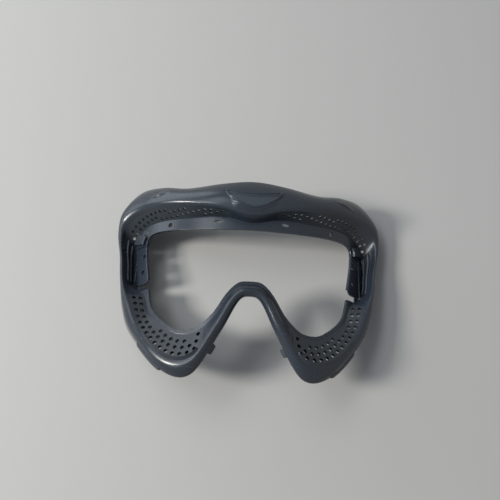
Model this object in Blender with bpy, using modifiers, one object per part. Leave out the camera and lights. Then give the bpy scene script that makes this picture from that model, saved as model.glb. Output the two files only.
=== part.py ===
"""Bare frame of a pair of sports protective goggles, lying on its back with the lens side up.

X runs across the face, Y from the nose up to the brow, Z from the face out through the lens.
The temples rest on Z = 0.  Every piece follows a few rails: space curves that run round the
right half from the middle of the brow (station 0) over the temple (station 7) and the cheek
(station 11) to the middle of the nose bridge (station 16).  The left half is its mirror image.
"""
import math

import bmesh
import bpy
import numpy as np
from mathutils import Matrix, Vector

# ---------------------------------------------------------------- driving dimensions (metres)
HALF_WIDTH = 0.0914         # from the middle of the face to the widest part of a temple
LENS_HEIGHT = 0.0420        # height of the lens seat at the middle of the face
TEMPLE_SEAT_HEIGHT = 0.0036 # its height where it is widest, beside a temple
LENS_TILT = 0.025           # rise of the seat towards the brow, as a slope
GAP = 0.0003                # clearance between neighbouring pieces

SHELL_WALL = 0.0015         # outer moulding
CARRIER_WALL = 0.0016       # lens seat
SCREEN_WALL = 0.0012        # perforated screens
CREST_ROUND = 0.0017        # rounding of the front rim
CREST_FULLNESS = 0.30       # how sharply that rounding turns, as a share of its size
SECTION_CROWN = 0.12        # bulge of the outer skin, as a slope

FACE_FLANGE_WIDTH = 0.0062  # land for the face foam
FACE_FLANGE_WALL = 0.0016

VENT_HOLE = 0.0022          # width of one hole of the brow screens
VENT_PITCH = 0.0042         # distance between holes in a row
CHEEK_HOLE = 0.0031         # the cheek screens have larger holes
CHEEK_PITCH = 0.0048
SCREEN_BORDER = 0.0007      # plain border of a screen, past its holes

SEAT_SLOT_PLACE = (1.07, 1.40)  # long hole in the brow part of the lens seat: station, share
SEAT_SLOT_LENGTH = 0.0050
SEAT_SLOT_WIDTH = 0.0024
SEAT_HOLE_PLACE = (2.83, 1.50)  # round hole further out
SEAT_HOLE_WIDTH = 0.0031

CLIP_INSET = 0.0035         # from the widest line of the lens seat to where a lens clip bends
CLIP_TOP_Y = 0.0175
CLIP_BOTTOM_Y = -0.0095
CLIP_REACH = 0.0200         # depth of the bay, past the edge of the opening
CLIP_NOTCH = 0.0042         # open notch under the clip
CLIP_ROOT = 0.0050          # what the notch leaves in front of the hinge line
CLIP_CLEARANCE = 0.0005
CLIP_WIDTH = 0.0105         # at its lower end
CLIP_CORNER = 0.0030        # round lower corner of a clip
CLIP_HOLE_WIDTH = 0.0030
CLIP_HOLE_Y = (0.0100, -0.0010)
CLIP_HOLE_INSET = 0.0058    # from the hinge line
CLIP_STATIONS = (5, 9.25)   # stretch of the rails that a clip follows

RIB_RADIUS = 0.0008         # two ribs down each temple
RIB_SHARES = (0.30, 0.78)   # where they lie between the rim and the seat
RIB_STATIONS = (5.55, 7.95)

STOP_THICKNESS = 0.0012     # pad over each clip
STOP_STATIONS = (4.72, 5.42)
STOP_SHARES = (1.10, 1.85)

STRAP_SLOT_LENGTH = 0.0340  # slot for the head strap in each temple
STRAP_SLOT_WIDTH = 0.0056
STRAP_SLOT_Y = 0.0130
STRAP_SLOT_Z = 0.0070
STRAP_SLOT_SIDE = 0.060     # it is only in the wall further out than this
SLOT_MARGIN = 0.012         # the wall is split no further from the slot than this

BADGE_HALF_LENGTH = 0.0182  # bare half-moon pad on the brow
BADGE_THICKNESS = 0.0010
BADGE_LOW_SHARE = 0.14      # its edges, between rim (0) and back of the brow (1)
BADGE_HIGH_SHARE = 0.60
BADGE_END_SHARE = 0.10      # how deep its ends still are, in the same shares
BADGE_DIP_SHARE = 0.06      # how far its upper edge falls towards the ends
BADGE_TIP = 0.985           # its ends are cut here, as a share of the half length
BADGE_LIFT = 0.0004         # how far it stands off the brow, past the clearance

LUG_STATIONS = (10.3, 11.05)  # lug under each cheek that carries a mask
LUG_THICKNESS = 0.0010
LUG_ROWS = (1, 3)           # lines of the wall's section between which it sits
HOOK_STATIONS = (12.55, 12.75)  # small hook on each side of the nose, near the face
HOOK_THICKNESS = 0.0020
HOOK_ROWS = (0, 1)

RIDGE_REACH = 0.95          # raised line under the badge: how far it runs, in stations
RIDGE_SHARE = 0.065
RIDGE_RADIUS = 0.0004

CUT_LOW = -0.010            # height range of the upright cutters
CUT_HIGH = 0.060
CUT_DEPTH = 0.014           # length of a cutter that makes a hole in the lens seat
SCREEN_CUT_DEPTH = 3 * SCREEN_WALL
ROUND_SIDES = 12            # sides of a round hole
SCREEN_SIDES = 6            # sides of a screen's hole

STATION_COUNT = 16
STEPS_PER_STATION = 4       # fineness of the long skins
SKIN_SHARES = (0.0, 0.3, 0.6, 0.85)  # lines of the outer skin, from the flank to the rim
BADGE_GRID = (14, 6)        # points along half of it, and across it
STOP_GRID = (5, 4)
PAD_STEPS = 6
RIB_POINTS = 12
RIDGE_POINTS = 17
CORNER_POINTS = 7
SLOPE_STEP = 0.001          # step along a rail for its direction, in stations
RAIL_SAMPLES = 400          # points where lengths along a rail are measured
WELD = 0.00001              # points nearer than this at the middle plane become one

# ---------------------------------------------------------------- rails, stations 0 to 16
# Their unit is a millimetre at the width above.  In FLANK and REAR the third number is a
# height as a percentage of LENS_HEIGHT.
OPENING = (                 # edge of the opening, x and y
    (0, 21.6), (20, 21.8), (39, 23.0), (55, 24.5), (64.5, 24.6), (68.6, 21.5),
    (68.6, 12), (67.2, 3), (65.4, -7), (64, -17), (59.5, -29.3), (45.5, -41),
    (33, -41.8), (22.5, -33), (14.5, -20.5), (7.5, -13.5), (0, -12.4),
)
SEAT = (                    # foot of the wall round the lens seat, x and y
    (0, 26.4), (20, 30.6), (39.5, 31.0), (56.5, 32.0), (69, 31.5), (77, 25.5),
    (79.5, 14), (79.0, 4), (77.0, -7), (67, -18), (61.4, -30.7), (46.1, -43.3),
    (32.2, -44.1), (22, -35.4), (13.7, -22), (6.9, -15.6), (0, -14.5),
)
CREST = (                   # front rim: x, y, rise above the lens seat, depth of its lip
    (0, 28.2, 9, 3.0), (20, 32.8, 10, 3.0), (40, 36.8, 11, 3.0), (59, 39.5, 12, 3.2),
    (75, 40.2, 13.5, 3.6), (85.3, 35, 18.6, 4.6), (86.8, 22, 19.8, 5.0), (84.5, 8, 18, 5.0),
    (82, -8, 17.4, 4.6), (77.5, -24, 15.0, 3.4), (69, -41.5, 11, 2.4), (51, -59.5, 7.5, 2.2),
    (33.5, -60.5, 6, 2.2), (20.8, -43, 6, 2.6), (11.8, -26.5, 5.5, 2.6), (5.4, -20.0, 5, 2.6),
    (0, -18.8, 5, 2.6),
)
FLANK = (               # widest line of the outer wall: x, y, height
    (0, 55, 104.8), (20, 53, 102.4), (43, 51.6, 85.7), (60, 55, 66.7), (76, 55.5, 40.5),
    (88, 43, 28.6), (90.0, 30, 21.4), (86.8, 14, 19), (84.4, -4, 21.4), (81.0, -23, 28.6),
    (73.0, -42, 40.5), (52, -65.5, 69), (33, -69.2, 85.7), (17.0, -45.0, 97.6),
    (8.5, -28.4, 101.2), (4.4, -23.2, 102.4), (0, -22.2, 102.4),
)
REAR = (                # edge on the face side: x, y, height
    (0, 57, 71.4), (20, 55.5, 69), (43, 54.5, 54.8), (61, 58, 33.3), (78, 59, 7.1), (89.8, 46, 0),
    (91.4, 33, 0), (88.4, 17, 0), (85.8, -3, 0), (82.4, -23, 4.8), (74.0, -42, 16.7),
    (52.5, -63.5, 42.9), (33.5, -66, 59.5), (18.6, -42.5, 71.4), (10.4, -26.4, 76.2),
    (5.4, -20.6, 78.6), (0, -19.4, 78.6),
)

RAIL_UNIT = HALF_WIDTH / max(x for x, _, _ in REAR)
SEAT_REACH = max(x for x, _ in SEAT) * RAIL_UNIT
SEAT_DROP = LENS_HEIGHT - TEMPLE_SEAT_HEIGHT
LENS_RADIUS = (SEAT_REACH ** 2 + SEAT_DROP ** 2) / (2 * SEAT_DROP)
CLIP_HINGE_X = SEAT_REACH - CLIP_INSET

# vents take the place of the wall between rim and seat over these stations
BROW_VENT = (0.75, 5.5)
CHEEK_VENT = (8.75, 12.5)
# rows of holes of a brow screen: first and last station, and depth below the lip at both
BROW_ROWS = (
    (0.98, 1.66, 0.25, 0.80), (1.36, 3.25, 0.12, 0.85), (2.02, 5.20, 0.10, 0.85),
    (2.75, 5.35, 0.08, 0.45),
)

# ---------------------------------------------------------------- materials
# base colour and roughness
SHELL_LOOK = ((0.030, 0.038, 0.048), 0.38)
CARRIER_LOOK = ((0.024, 0.031, 0.040), 0.45)
SCREEN_LOOK = ((0.020, 0.026, 0.034), 0.50)
TRIM_LOOK = ((0.034, 0.042, 0.052), 0.35)


def make_material(name, colour, roughness):
    material = bpy.data.materials.new(name)
    material.use_nodes = True
    shader = material.node_tree.nodes["Principled BSDF"]
    shader.inputs["Base Color"].default_value = (*colour, 1.0)
    shader.inputs["Roughness"].default_value = roughness
    shader.inputs["Metallic"].default_value = 0.0
    return material


# ---------------------------------------------------------------- rails
def seat_height(x, y):
    """Height of the lens seat, part of a cylinder about a line along Y that is slightly tilted.

    Its radius is that of the arc through the middle of the face and both temples.
    """
    across = np.minimum(np.abs(x), LENS_RADIUS)
    return LENS_HEIGHT - LENS_RADIUS + np.sqrt(LENS_RADIUS ** 2 - across ** 2) + LENS_TILT * y


def through(points, stations):
    """Smooth curve through the points; past both ends it goes on as its own mirror image."""
    points = np.asarray(points, float)
    flip = np.ones(points.shape[1])
    flip[0] = -1
    padded = np.vstack([points[1] * flip, points, points[-2] * flip])
    stations = np.asarray(stations, float)
    index = np.clip(np.floor(stations).astype(int), 0, len(points) - 2)
    u = (stations - index)[:, None]
    p0, p1, p2, p3 = (padded[index + k] for k in range(4))
    return 0.5 * (2 * p1 + (p2 - p0) * u + (2 * p0 - 5 * p1 + 4 * p2 - p3) * u ** 2
                  + (3 * p1 - p0 - 3 * p2 + p3) * u ** 3)


def on_seat(points, stations, rise=0.0):
    plan = through(points, stations)[:, :2] * RAIL_UNIT
    height = seat_height(plan[:, 0], plan[:, 1]) + rise
    return np.column_stack([plan, height])


def lens_normal(place):
    """Direction square to the lens seat at a point of it."""
    return (place[0] / LENS_RADIUS, 0.0, math.sqrt(1 - (place[0] / LENS_RADIUS) ** 2))


def unit(vectors):
    return vectors / np.linalg.norm(vectors, axis=-1, keepdims=True)


def opening_rail(stations):
    return on_seat(OPENING, stations)


def seat_rail(stations):
    return on_seat(SEAT, stations)


def crest_rail(stations):
    return on_seat(CREST, stations, through(CREST, stations)[:, 2] * RAIL_UNIT)


def lip_rail(stations):
    """Inner edge of the outer moulding, a little way down the wall from the rim."""
    crest = crest_rail(stations)
    depth = through(CREST, stations)[:, 3:4] * RAIL_UNIT
    return crest + unit(seat_rail(stations) - crest) * depth


def standing(points, stations):
    """Rail whose points give their own height, as a percentage of LENS_HEIGHT."""
    return through(points, stations) * (RAIL_UNIT, RAIL_UNIT, LENS_HEIGHT / 100)


def rear_rail(stations):
    rail = standing(REAR, stations)
    rail[:, 2] = np.maximum(rail[:, 2], 0.0)
    return rail


def flank_rail(stations):
    return standing(FLANK, stations)


def pace(rail, station):
    """Length of the rail for each unit of station."""
    ends = rail([station - SLOPE_STEP, station + SLOPE_STEP])
    return np.linalg.norm(ends[1] - ends[0]) / (2 * SLOPE_STEP)


def rear_frame(stations):
    """Inward direction in plan along the rear edge, and the direction square to its land."""
    stations = np.asarray(stations)
    tangent = unit(rear_rail(stations + SLOPE_STEP) - rear_rail(stations - SLOPE_STEP))
    inward = unit(np.column_stack([tangent[:, 1], -tangent[:, 0], np.zeros(len(tangent))]))
    return inward, unit(np.cross(inward, tangent))


def station_steps(first, last):
    return np.linspace(first, last, int(round((last - first) * STEPS_PER_STATION)) + 1)


# ---------------------------------------------------------------- skins
def outer_rows(stations):
    """Section of the outer moulding, from the face side over the rim to the lip inside it."""
    inward, up = rear_frame(stations)
    flank = flank_rail(stations)
    lean = np.sum(unit(flank - rear_rail(stations)) * inward, axis=1, keepdims=True)
    clear = FACE_FLANGE_WALL + GAP + SHELL_WALL * np.maximum(lean, 0.0)
    rear = rear_rail(stations) + up * clear
    crest = crest_rail(stations)
    lip = lip_rail(stations)
    span = crest - flank
    tangent = unit(np.gradient(crest, axis=0))
    bulge = unit(np.cross(span, tangent)) * SECTION_CROWN
    bulge *= np.linalg.norm(span, axis=1, keepdims=True)
    bulge *= np.where(bulge[:, 2:3] < 0, -1, 1)
    middle = (flank + crest) / 2 + bulge * 2  # the curve goes half as far out as this
    rows = [rear, (rear + flank) / 2]
    for share in SKIN_SHARES:
        rows.append((1 - share) ** 2 * flank + 2 * share * (1 - share) * middle + share ** 2 * crest)
    outward = unit(rows[-1] - crest)
    inside = unit(lip - crest)
    rows.append(crest + outward * CREST_ROUND)
    rows.append(crest + (outward + inside) * CREST_ROUND * CREST_FULLNESS)
    rows.append(crest + inside * CREST_ROUND)
    rows.append(lip)
    return np.stack(rows, axis=1)


def brow_point(stations, share):
    """Point on the outer skin, share 0 at the rim and 1 on the flank."""
    rows = outer_rows(stations)[:, 2:7]
    run = np.concatenate([[0.0], np.cumsum(np.linalg.norm(np.diff(rows[0], axis=0), axis=1))])
    place = (1 - np.asarray(share)) * run[-1]
    index = np.clip(np.searchsorted(run, place) - 1, 0, len(run) - 2)
    u = ((place - run[index]) / (run[index + 1] - run[index]))[:, None]
    picked = np.arange(len(stations))
    return rows[picked, index] * (1 - u) + rows[picked, index + 1] * u


def inner_point(stations, share):
    """Point on the inner skin: 0 at the lip, 1 at the foot of the wall, 2 at the opening."""
    lip = lip_rail(stations)
    seat = seat_rail(stations)
    opening = opening_rail(stations)
    lip = lip + unit(seat - lip) * GAP
    share = np.asarray(share, float)[..., None]
    wall = lip + (seat - lip) * np.clip(share, 0, 1)
    return wall + (opening - seat) * np.clip(share - 1, 0, 1)


# ---------------------------------------------------------------- mesh helpers
def add_object(name, mesh, material, collection):
    item = bpy.data.objects.new(name, mesh)
    mesh.materials.clear()
    if material is not None:
        mesh.materials.append(material)
    collection.objects.link(item)
    return item


def sheet_mesh(name, rows, keep=None, flip=False):
    """Open quad sheet from a grid of points; keep picks its cells."""
    count, width = rows.shape[:2]
    first = (np.arange(count - 1)[:, None] * width + np.arange(width - 1)).ravel()
    faces = np.column_stack([first, first + 1, first + width + 1, first + width])
    if keep is not None:
        faces = faces[keep.ravel()]
    if flip:
        faces = faces[:, ::-1]
    mesh = bpy.data.meshes.new(name)
    mesh.from_pydata(rows.reshape(-1, 3).tolist(), [], faces.tolist())
    edit = bmesh.new()
    edit.from_mesh(mesh)
    loose = [vertex for vertex in edit.verts if not vertex.link_faces]
    bmesh.ops.delete(edit, geom=loose, context="VERTS")
    edit.to_mesh(mesh)
    edit.free()
    return mesh


def add_mirror(item):
    mirror = item.modifiers.new("Mirror", "MIRROR")
    mirror.use_axis = (True, False, False)
    mirror.merge_threshold = WELD


def add_wall(item, thickness, offset=-1.0, even=True):
    wall = item.modifiers.new("Wall", "SOLIDIFY")
    wall.thickness = thickness
    wall.offset = offset
    wall.use_even_offset = even


def add_cut(item, cutter, operation="DIFFERENCE"):
    cut = item.modifiers.new("Cut " + cutter.name, "BOOLEAN")
    cut.operation = operation
    cut.object = cutter
    cut.solver = "EXACT"


def tube(name, points, radius, collection, material):
    curve = bpy.data.curves.new(name, "CURVE")
    curve.dimensions = "3D"
    curve.bevel_depth = radius
    curve.bevel_resolution = 1
    curve.use_fill_caps = True
    spline = curve.splines.new("POLY")
    spline.points.add(len(points) - 1)
    for target, point in zip(spline.points, points):
        target.co = (*point, 1.0)
    curve.materials.append(material)
    item = bpy.data.objects.new(name, curve)
    collection.objects.link(item)
    return item


def mirrored_points(rows):
    return rows * np.array([-1.0, 1.0, 1.0])


def side_sheet(name, rows, side, flip=False):
    """The sheet for one side; the left side is the mirror image, turned right side out."""
    if side == "left":
        return sheet_mesh(name, mirrored_points(rows), flip=not flip)
    return sheet_mesh(name, rows, flip=flip)


def open_slot(mesh, middle, half):
    """Cuts a slot with sides along Y and Z into the outermost wall, while it is still a sheet."""
    def near(face, margin):
        spot = face.calc_center_median()
        return spot.x > STRAP_SLOT_SIDE and all(
            abs(spot[axis] - middle[axis - 1]) < half[axis - 1] + margin for axis in (1, 2))

    edit = bmesh.new()
    edit.from_mesh(mesh)
    for axis in (1, 2):
        for sign in (-1, 1):
            faces = [face for face in edit.faces if near(face, SLOT_MARGIN)]
            edges = {edge for face in faces for edge in face.edges}
            corners = {corner for face in faces for corner in face.verts}
            level, direction = Vector(), Vector()
            level[axis] = middle[axis - 1] + sign * half[axis - 1]
            direction[axis] = 1.0
            bmesh.ops.bisect_plane(edit, geom=[*faces, *edges, *corners], dist=GAP / 10,
                                   plane_co=level, plane_no=direction)
    bmesh.ops.delete(edit, geom=[face for face in edit.faces if near(face, 0.0)], context="FACES")
    edit.to_mesh(mesh)
    edit.free()


def outline_cutter(name, outline, collection, side="right"):
    """Upright prism over an outline given in plan, from below the part to above it."""
    sign = -1 if side == "left" else 1
    mesh = bpy.data.meshes.new(name)
    edit = bmesh.new()
    corners = [edit.verts.new((sign * x, y, CUT_LOW)) for x, y in outline]
    face = edit.faces.new(corners)
    raised = bmesh.ops.extrude_face_region(edit, geom=[face])["geom"]
    bmesh.ops.translate(edit, vec=(0, 0, CUT_HIGH - CUT_LOW),
                        verts=[part for part in raised if isinstance(part, bmesh.types.BMVert)])
    bmesh.ops.recalc_face_normals(edit, faces=edit.faces)
    edit.to_mesh(mesh)
    edit.free()
    return add_object(name, mesh, None, collection)


def prism_cutter(name, places, directions, widths, depth, sides, collection, stretch=1.0):
    """One mesh of straight prisms, each along its own direction and stretched across the face."""
    mesh = bpy.data.meshes.new(name)
    edit = bmesh.new()
    for place, direction, width in zip(places, directions, widths):
        axis = Vector(direction).normalized()
        aside = Vector((0, 1, 0)).cross(axis).normalized()
        turn = Matrix((aside, axis.cross(aside), axis)).transposed().to_4x4()
        matrix = Matrix.Translation(Vector(place)) @ turn
        matrix = matrix @ Matrix.Diagonal((stretch, 1.0, 1.0, 1.0))
        bmesh.ops.create_cone(edit, cap_ends=True, segments=sides, radius1=width / 2,
                              radius2=width / 2, depth=depth, matrix=matrix)
    edit.to_mesh(mesh)
    edit.free()
    return add_object(name, mesh, None, collection)


# ---------------------------------------------------------------- pieces
def build_goggle_shell(collection, material):
    stations = station_steps(0, STATION_COUNT)
    mesh = sheet_mesh("goggle_shell", outer_rows(stations))
    open_slot(mesh, (STRAP_SLOT_Y, STRAP_SLOT_Z), (STRAP_SLOT_LENGTH / 2, STRAP_SLOT_WIDTH / 2))
    item = add_object("goggle_shell", mesh, material, collection)
    add_mirror(item)
    add_wall(item, SHELL_WALL, even=False)
    return item


def build_face_flange(collection, material):
    stations = station_steps(0, STATION_COUNT)
    inward, _ = rear_frame(stations)
    outer = rear_rail(stations)
    inner = outer + inward * FACE_FLANGE_WIDTH
    inner[[0, -1], 0] = 0.0
    item = add_object("face_flange", sheet_mesh("face_flange", np.stack([outer, inner], axis=1)),
                      material, collection)
    add_mirror(item)
    add_wall(item, FACE_FLANGE_WALL, offset=1.0)
    return item


def bay_outline():
    """Space of a lens clip in plan, with the open notch under it."""
    free = CLIP_HINGE_X - CLIP_REACH
    foot = CLIP_BOTTOM_Y - CLIP_CLEARANCE
    notch = CLIP_HINGE_X - CLIP_ROOT
    return [(free, CLIP_TOP_Y), (CLIP_HINGE_X, CLIP_TOP_Y), (CLIP_HINGE_X, foot),
            (notch, foot), (notch, CLIP_BOTTOM_Y - CLIP_NOTCH),
            (free, CLIP_BOTTOM_Y - CLIP_NOTCH)]


def clip_outline():
    """A lens clip in plan, with the round lower corner of its free edge."""
    free = CLIP_HINGE_X - CLIP_REACH
    hinge = CLIP_HINGE_X - CLIP_CLEARANCE
    top = CLIP_TOP_Y - CLIP_CLEARANCE
    turns = np.linspace(0.0, math.pi / 2, CORNER_POINTS)
    centre = (CLIP_HINGE_X - CLIP_WIDTH + CLIP_CORNER, CLIP_BOTTOM_Y + CLIP_CORNER)
    corner = [(centre[0] - CLIP_CORNER * math.sin(turn), centre[1] - CLIP_CORNER * math.cos(turn))
              for turn in turns]
    return [(free, top), (hinge, top), (hinge, CLIP_BOTTOM_Y), *corner,
            (free, centre[1] + CLIP_CORNER)]


def vent_cells(stations, shares):
    """Which cells of the inner skin stay with the lens carrier."""
    middle = (stations[:-1] + stations[1:]) / 2
    height = (shares[:-1] + shares[1:]) / 2
    in_vent = np.zeros(len(middle), bool)
    for first, last in (BROW_VENT, CHEEK_VENT):
        in_vent |= (middle > first) & (middle < last)
    return ~(in_vent[:, None] & (height[None, :] < 1))


def build_lens_carrier(collection, cutters, material):
    stations = station_steps(0, STATION_COUNT)
    shares = np.array([0.0, 1.0, 2.0])
    rows = np.stack([inner_point(stations, np.full(len(stations), s)) for s in shares], axis=1)
    item = add_object("lens_carrier",
                      sheet_mesh("lens_carrier", rows, keep=vent_cells(stations, shares)),
                      material, collection)
    add_mirror(item)
    add_wall(item, CARRIER_WALL)
    for name, (station, share), width, length in (
            ("seat_hole_cutter", SEAT_HOLE_PLACE, SEAT_HOLE_WIDTH, SEAT_HOLE_WIDTH),
            ("seat_slot_cutter", SEAT_SLOT_PLACE, SEAT_SLOT_WIDTH, SEAT_SLOT_LENGTH)):
        place = inner_point([station], [share])[0]
        places = [place, mirrored_points(place)]
        directions = [lens_normal(spot) for spot in places]
        add_cut(item, prism_cutter(name, places, directions, [width] * 2, CUT_DEPTH, ROUND_SIDES,
                                   cutters, stretch=length / width))
    for side in ("right", "left"):
        add_cut(item, outline_cutter("clip_bay_cutter_" + side, bay_outline(), cutters, side))
    return item


def holes_along(line, down, begin, pitch, end_margin):
    """Holes at equal steps along a line, each square to the screen."""
    run = np.concatenate([[0], np.cumsum(np.linalg.norm(np.diff(line, axis=0), axis=1))])
    square = unit(np.cross(down, np.gradient(line, axis=0)))
    places = np.arange(begin, run[-1] - end_margin, pitch)
    spots = np.column_stack([np.interp(places, run, line[:, k]) for k in range(3)])
    turns = np.column_stack([np.interp(places, run, square[:, k]) for k in range(3)])
    return np.interp(places, run, np.arange(len(line))), spots, turns


def spaced(places, directions, least):
    """Leaves out each hole that would come nearer than least to one before it."""
    kept = []
    for index, place in enumerate(places):
        if all(np.linalg.norm(place - places[other]) >= least for other in kept):
            kept.append(index)
    return places[kept], directions[kept]


def screen_frame(first, last):
    fine = np.linspace(first, last, RAIL_SAMPLES)
    lip, seat = lip_rail(fine), seat_rail(fine)
    room = np.linalg.norm(seat - lip, axis=1, keepdims=True)
    return fine, lip, (seat - lip) / room, room


def brow_holes():
    """Rows that leave the rim one after the other and curve down to the seat."""
    margin = VENT_HOLE / 2 + SCREEN_BORDER + GAP
    places, directions = [], []
    for first, last, start, end in BROW_ROWS:
        fine, lip, down, room = screen_frame(first, last)
        u = (fine - first) / (last - first)
        share = start + (end - start) * (1 - (1 - u) ** 2)
        depth = np.clip(share[:, None] * room, margin, room - margin)
        _, spots, turns = holes_along(lip + down * depth, down, 0.0, VENT_PITCH, 0.0)
        places.append(spots)
        directions.append(turns)
    return spaced(np.vstack(places), np.vstack(directions), VENT_HOLE + SCREEN_BORDER)


def cheek_holes():
    """Staggered rows parallel to the rim, as many as there is room for."""
    fine, lip, down, room = screen_frame(*CHEEK_VENT)
    margin = CHEEK_HOLE / 2 + SCREEN_BORDER
    row_pitch = CHEEK_PITCH * math.sqrt(3) / 2
    places, directions = [], []
    for row in range(int(room.max() / row_pitch)):
        depth = margin + GAP + row * row_pitch
        begin = margin + (CHEEK_PITCH / 2 if row % 2 else 0.0)
        index, spots, turns = holes_along(lip + down * depth, down, begin, CHEEK_PITCH, margin)
        fits = np.interp(index, np.arange(len(fine)), room[:, 0]) > depth + margin + GAP
        places.append(spots[fits])
        directions.append(turns[fits])
    return spaced(np.vstack(places), np.vstack(directions), CHEEK_HOLE + SCREEN_BORDER)


def build_screen(name, window, hole, pattern, side, collection, cutters, material):
    first, last = window
    stations = station_steps(first, last)
    stations[0] += 2 * GAP / pace(seat_rail, first)
    stations[-1] -= 2 * GAP / pace(seat_rail, last)
    lip, seat = lip_rail(stations), seat_rail(stations)
    down = unit(seat - lip)
    rows = np.stack([lip + down * GAP, seat - down * GAP], axis=1)
    item = add_object(name, side_sheet(name, rows, side), material, collection)
    add_wall(item, SCREEN_WALL)
    places, directions = pattern
    if side == "left":
        places, directions = mirrored_points(places), mirrored_points(directions)
    add_cut(item, prism_cutter(name + "_cutter", places, directions, [hole] * len(places),
                               SCREEN_CUT_DEPTH, SCREEN_SIDES, cutters))
    return item


def hinge_point(side):
    """Middle of a clip's hinge line, on the lens side of the seat."""
    middle = (CLIP_TOP_Y + CLIP_BOTTOM_Y) / 2
    stations = np.linspace(*CLIP_STATIONS, RAIL_SAMPLES)
    seat, opening = seat_rail(stations), opening_rail(stations)
    near = np.argmin(np.abs((seat[:, 1] + opening[:, 1]) / 2 - middle))
    x = CLIP_HINGE_X - CLIP_CLEARANCE
    share = (seat[near, 0] - x) / (seat[near, 0] - opening[near, 0])
    height = seat[near, 2] + (opening[near, 2] - seat[near, 2]) * share
    return (-x if side == "left" else x, middle, height)


def build_clip(side, collection, cutters, material):
    """Springy strip that holds the lens edge, free at both ends, bending on its hinge line."""
    name = "lens_clip_" + side
    stations = station_steps(*CLIP_STATIONS)
    rows = np.stack([seat_rail(stations), opening_rail(stations)], axis=1)
    item = add_object(name, side_sheet(name, rows, side), material, collection)
    add_wall(item, CARRIER_WALL)
    x = CLIP_HINGE_X - CLIP_HOLE_INSET
    places = np.array([(x, y, seat_height(x, y)) for y in CLIP_HOLE_Y])
    if side == "left":
        places = mirrored_points(places)
    directions = [lens_normal(spot) for spot in places]
    add_cut(item, prism_cutter(name + "_hole_cutter", places, directions,
                               [CLIP_HOLE_WIDTH] * len(places), CUT_DEPTH, ROUND_SIDES, cutters))
    add_cut(item, outline_cutter(name + "_cutter", clip_outline(), cutters, side), "INTERSECT")
    set_origin(item, hinge_point(side))
    return item


def build_rib(name, share, side, collection, material):
    stations = np.linspace(*RIB_STATIONS, RIB_POINTS)
    lip, seat = lip_rail(stations), seat_rail(stations)
    lift = unit(np.cross(seat - lip, np.gradient(lip, axis=0)))
    lift *= np.where(lift[:, 2:3] < 0, -1, 1)
    points = lip + (seat - lip) * share + lift * (RIB_RADIUS + GAP)
    if side == "left":
        points = mirrored_points(points)
    return tube(name, points, RIB_RADIUS, collection, material)


def build_stop(side, collection, material):
    name = "lens_stop_" + side
    stations = np.linspace(*STOP_STATIONS, STOP_GRID[0])
    shares = np.linspace(*STOP_SHARES, STOP_GRID[1])
    rows = np.stack([inner_point(stations, np.full(len(stations), s)) for s in shares], axis=1)
    lift = unit(np.cross(rows[:, -1] - rows[:, 0], np.gradient(rows[:, 0], axis=0)))
    lift *= np.where(lift[:, 2:3] < 0, -1, 1)
    rows = rows + lift[:, None, :] * GAP
    item = add_object(name, side_sheet(name, rows, side), material, collection)
    add_wall(item, STOP_THICKNESS, offset=1.0)
    return item


def build_badge(collection, material):
    """Bare half-moon pad in the middle of the brow, laid on the outer skin."""
    reach = crest_rail([1.0])[0, 0]
    across = np.sin(np.linspace(0, math.pi / 2, BADGE_GRID[0])) * BADGE_TIP
    stations = across * BADGE_HALF_LENGTH / reach
    end = BADGE_HIGH_SHARE - BADGE_END_SHARE
    low = end - (end - BADGE_LOW_SHARE) * np.sqrt(1 - across ** 2)
    high = BADGE_HIGH_SHARE - BADGE_DIP_SHARE * across ** 2
    rows = np.stack([brow_point(stations, low + (high - low) * share)
                     for share in np.linspace(0, 1, BADGE_GRID[1])], axis=1)
    lift = unit(np.cross(rows[:, -1] - rows[:, 0], np.gradient(rows[:, 0], axis=0)))
    lift *= np.where(lift[:, 2:3] < 0, -1, 1)
    rows = rows + lift[:, None, :] * (GAP + BADGE_LIFT)
    rows[0, :, 0] = 0.0
    item = add_object("badge_plate", sheet_mesh("badge_plate", rows, flip=True), material, collection)
    add_mirror(item)
    add_wall(item, BADGE_THICKNESS, offset=1.0)
    return item


def build_wall_pad(name, window, first_row, last_row, thickness, side, collection, material):
    """Raised pad that follows the outer wall between two lines of its section."""
    stations = np.linspace(*window, PAD_STEPS)
    rows = outer_rows(stations)[:, first_row:last_row + 1]
    lift = unit(np.cross(rows[:, -1] - rows[:, 0], np.gradient(rows[:, 0], axis=0)))
    rows = rows + lift[:, None, :] * GAP
    item = add_object(name, side_sheet(name, rows, side), material, collection)
    add_wall(item, thickness, offset=1.0)
    return item


def build_brow_ridge(collection, material):
    """Raised line between the badge and the rim."""
    stations = np.linspace(-RIDGE_REACH, RIDGE_REACH, RIDGE_POINTS)
    points = brow_point(np.abs(stations), np.full(RIDGE_POINTS, RIDGE_SHARE))
    points[:, 0] *= np.sign(stations)
    points[:, 2] += RIDGE_RADIUS + GAP
    return tube("brow_ridge", points, RIDGE_RADIUS, collection, material)


def set_origin(item, point):
    """Moves an object's origin without moving its shape."""
    item.data.transform(Matrix.Translation(-Vector(point)))
    item.location = point


def centre_on_origin(collections):
    """Slides everything along Y until the outer moulding has its middle over the origin."""
    outline = outer_rows(station_steps(0, STATION_COUNT))[..., 1]
    slide = -(outline.min() + outline.max()) / 2
    for collection in collections:
        for item in collection.objects:
            item.location.y += slide


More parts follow.
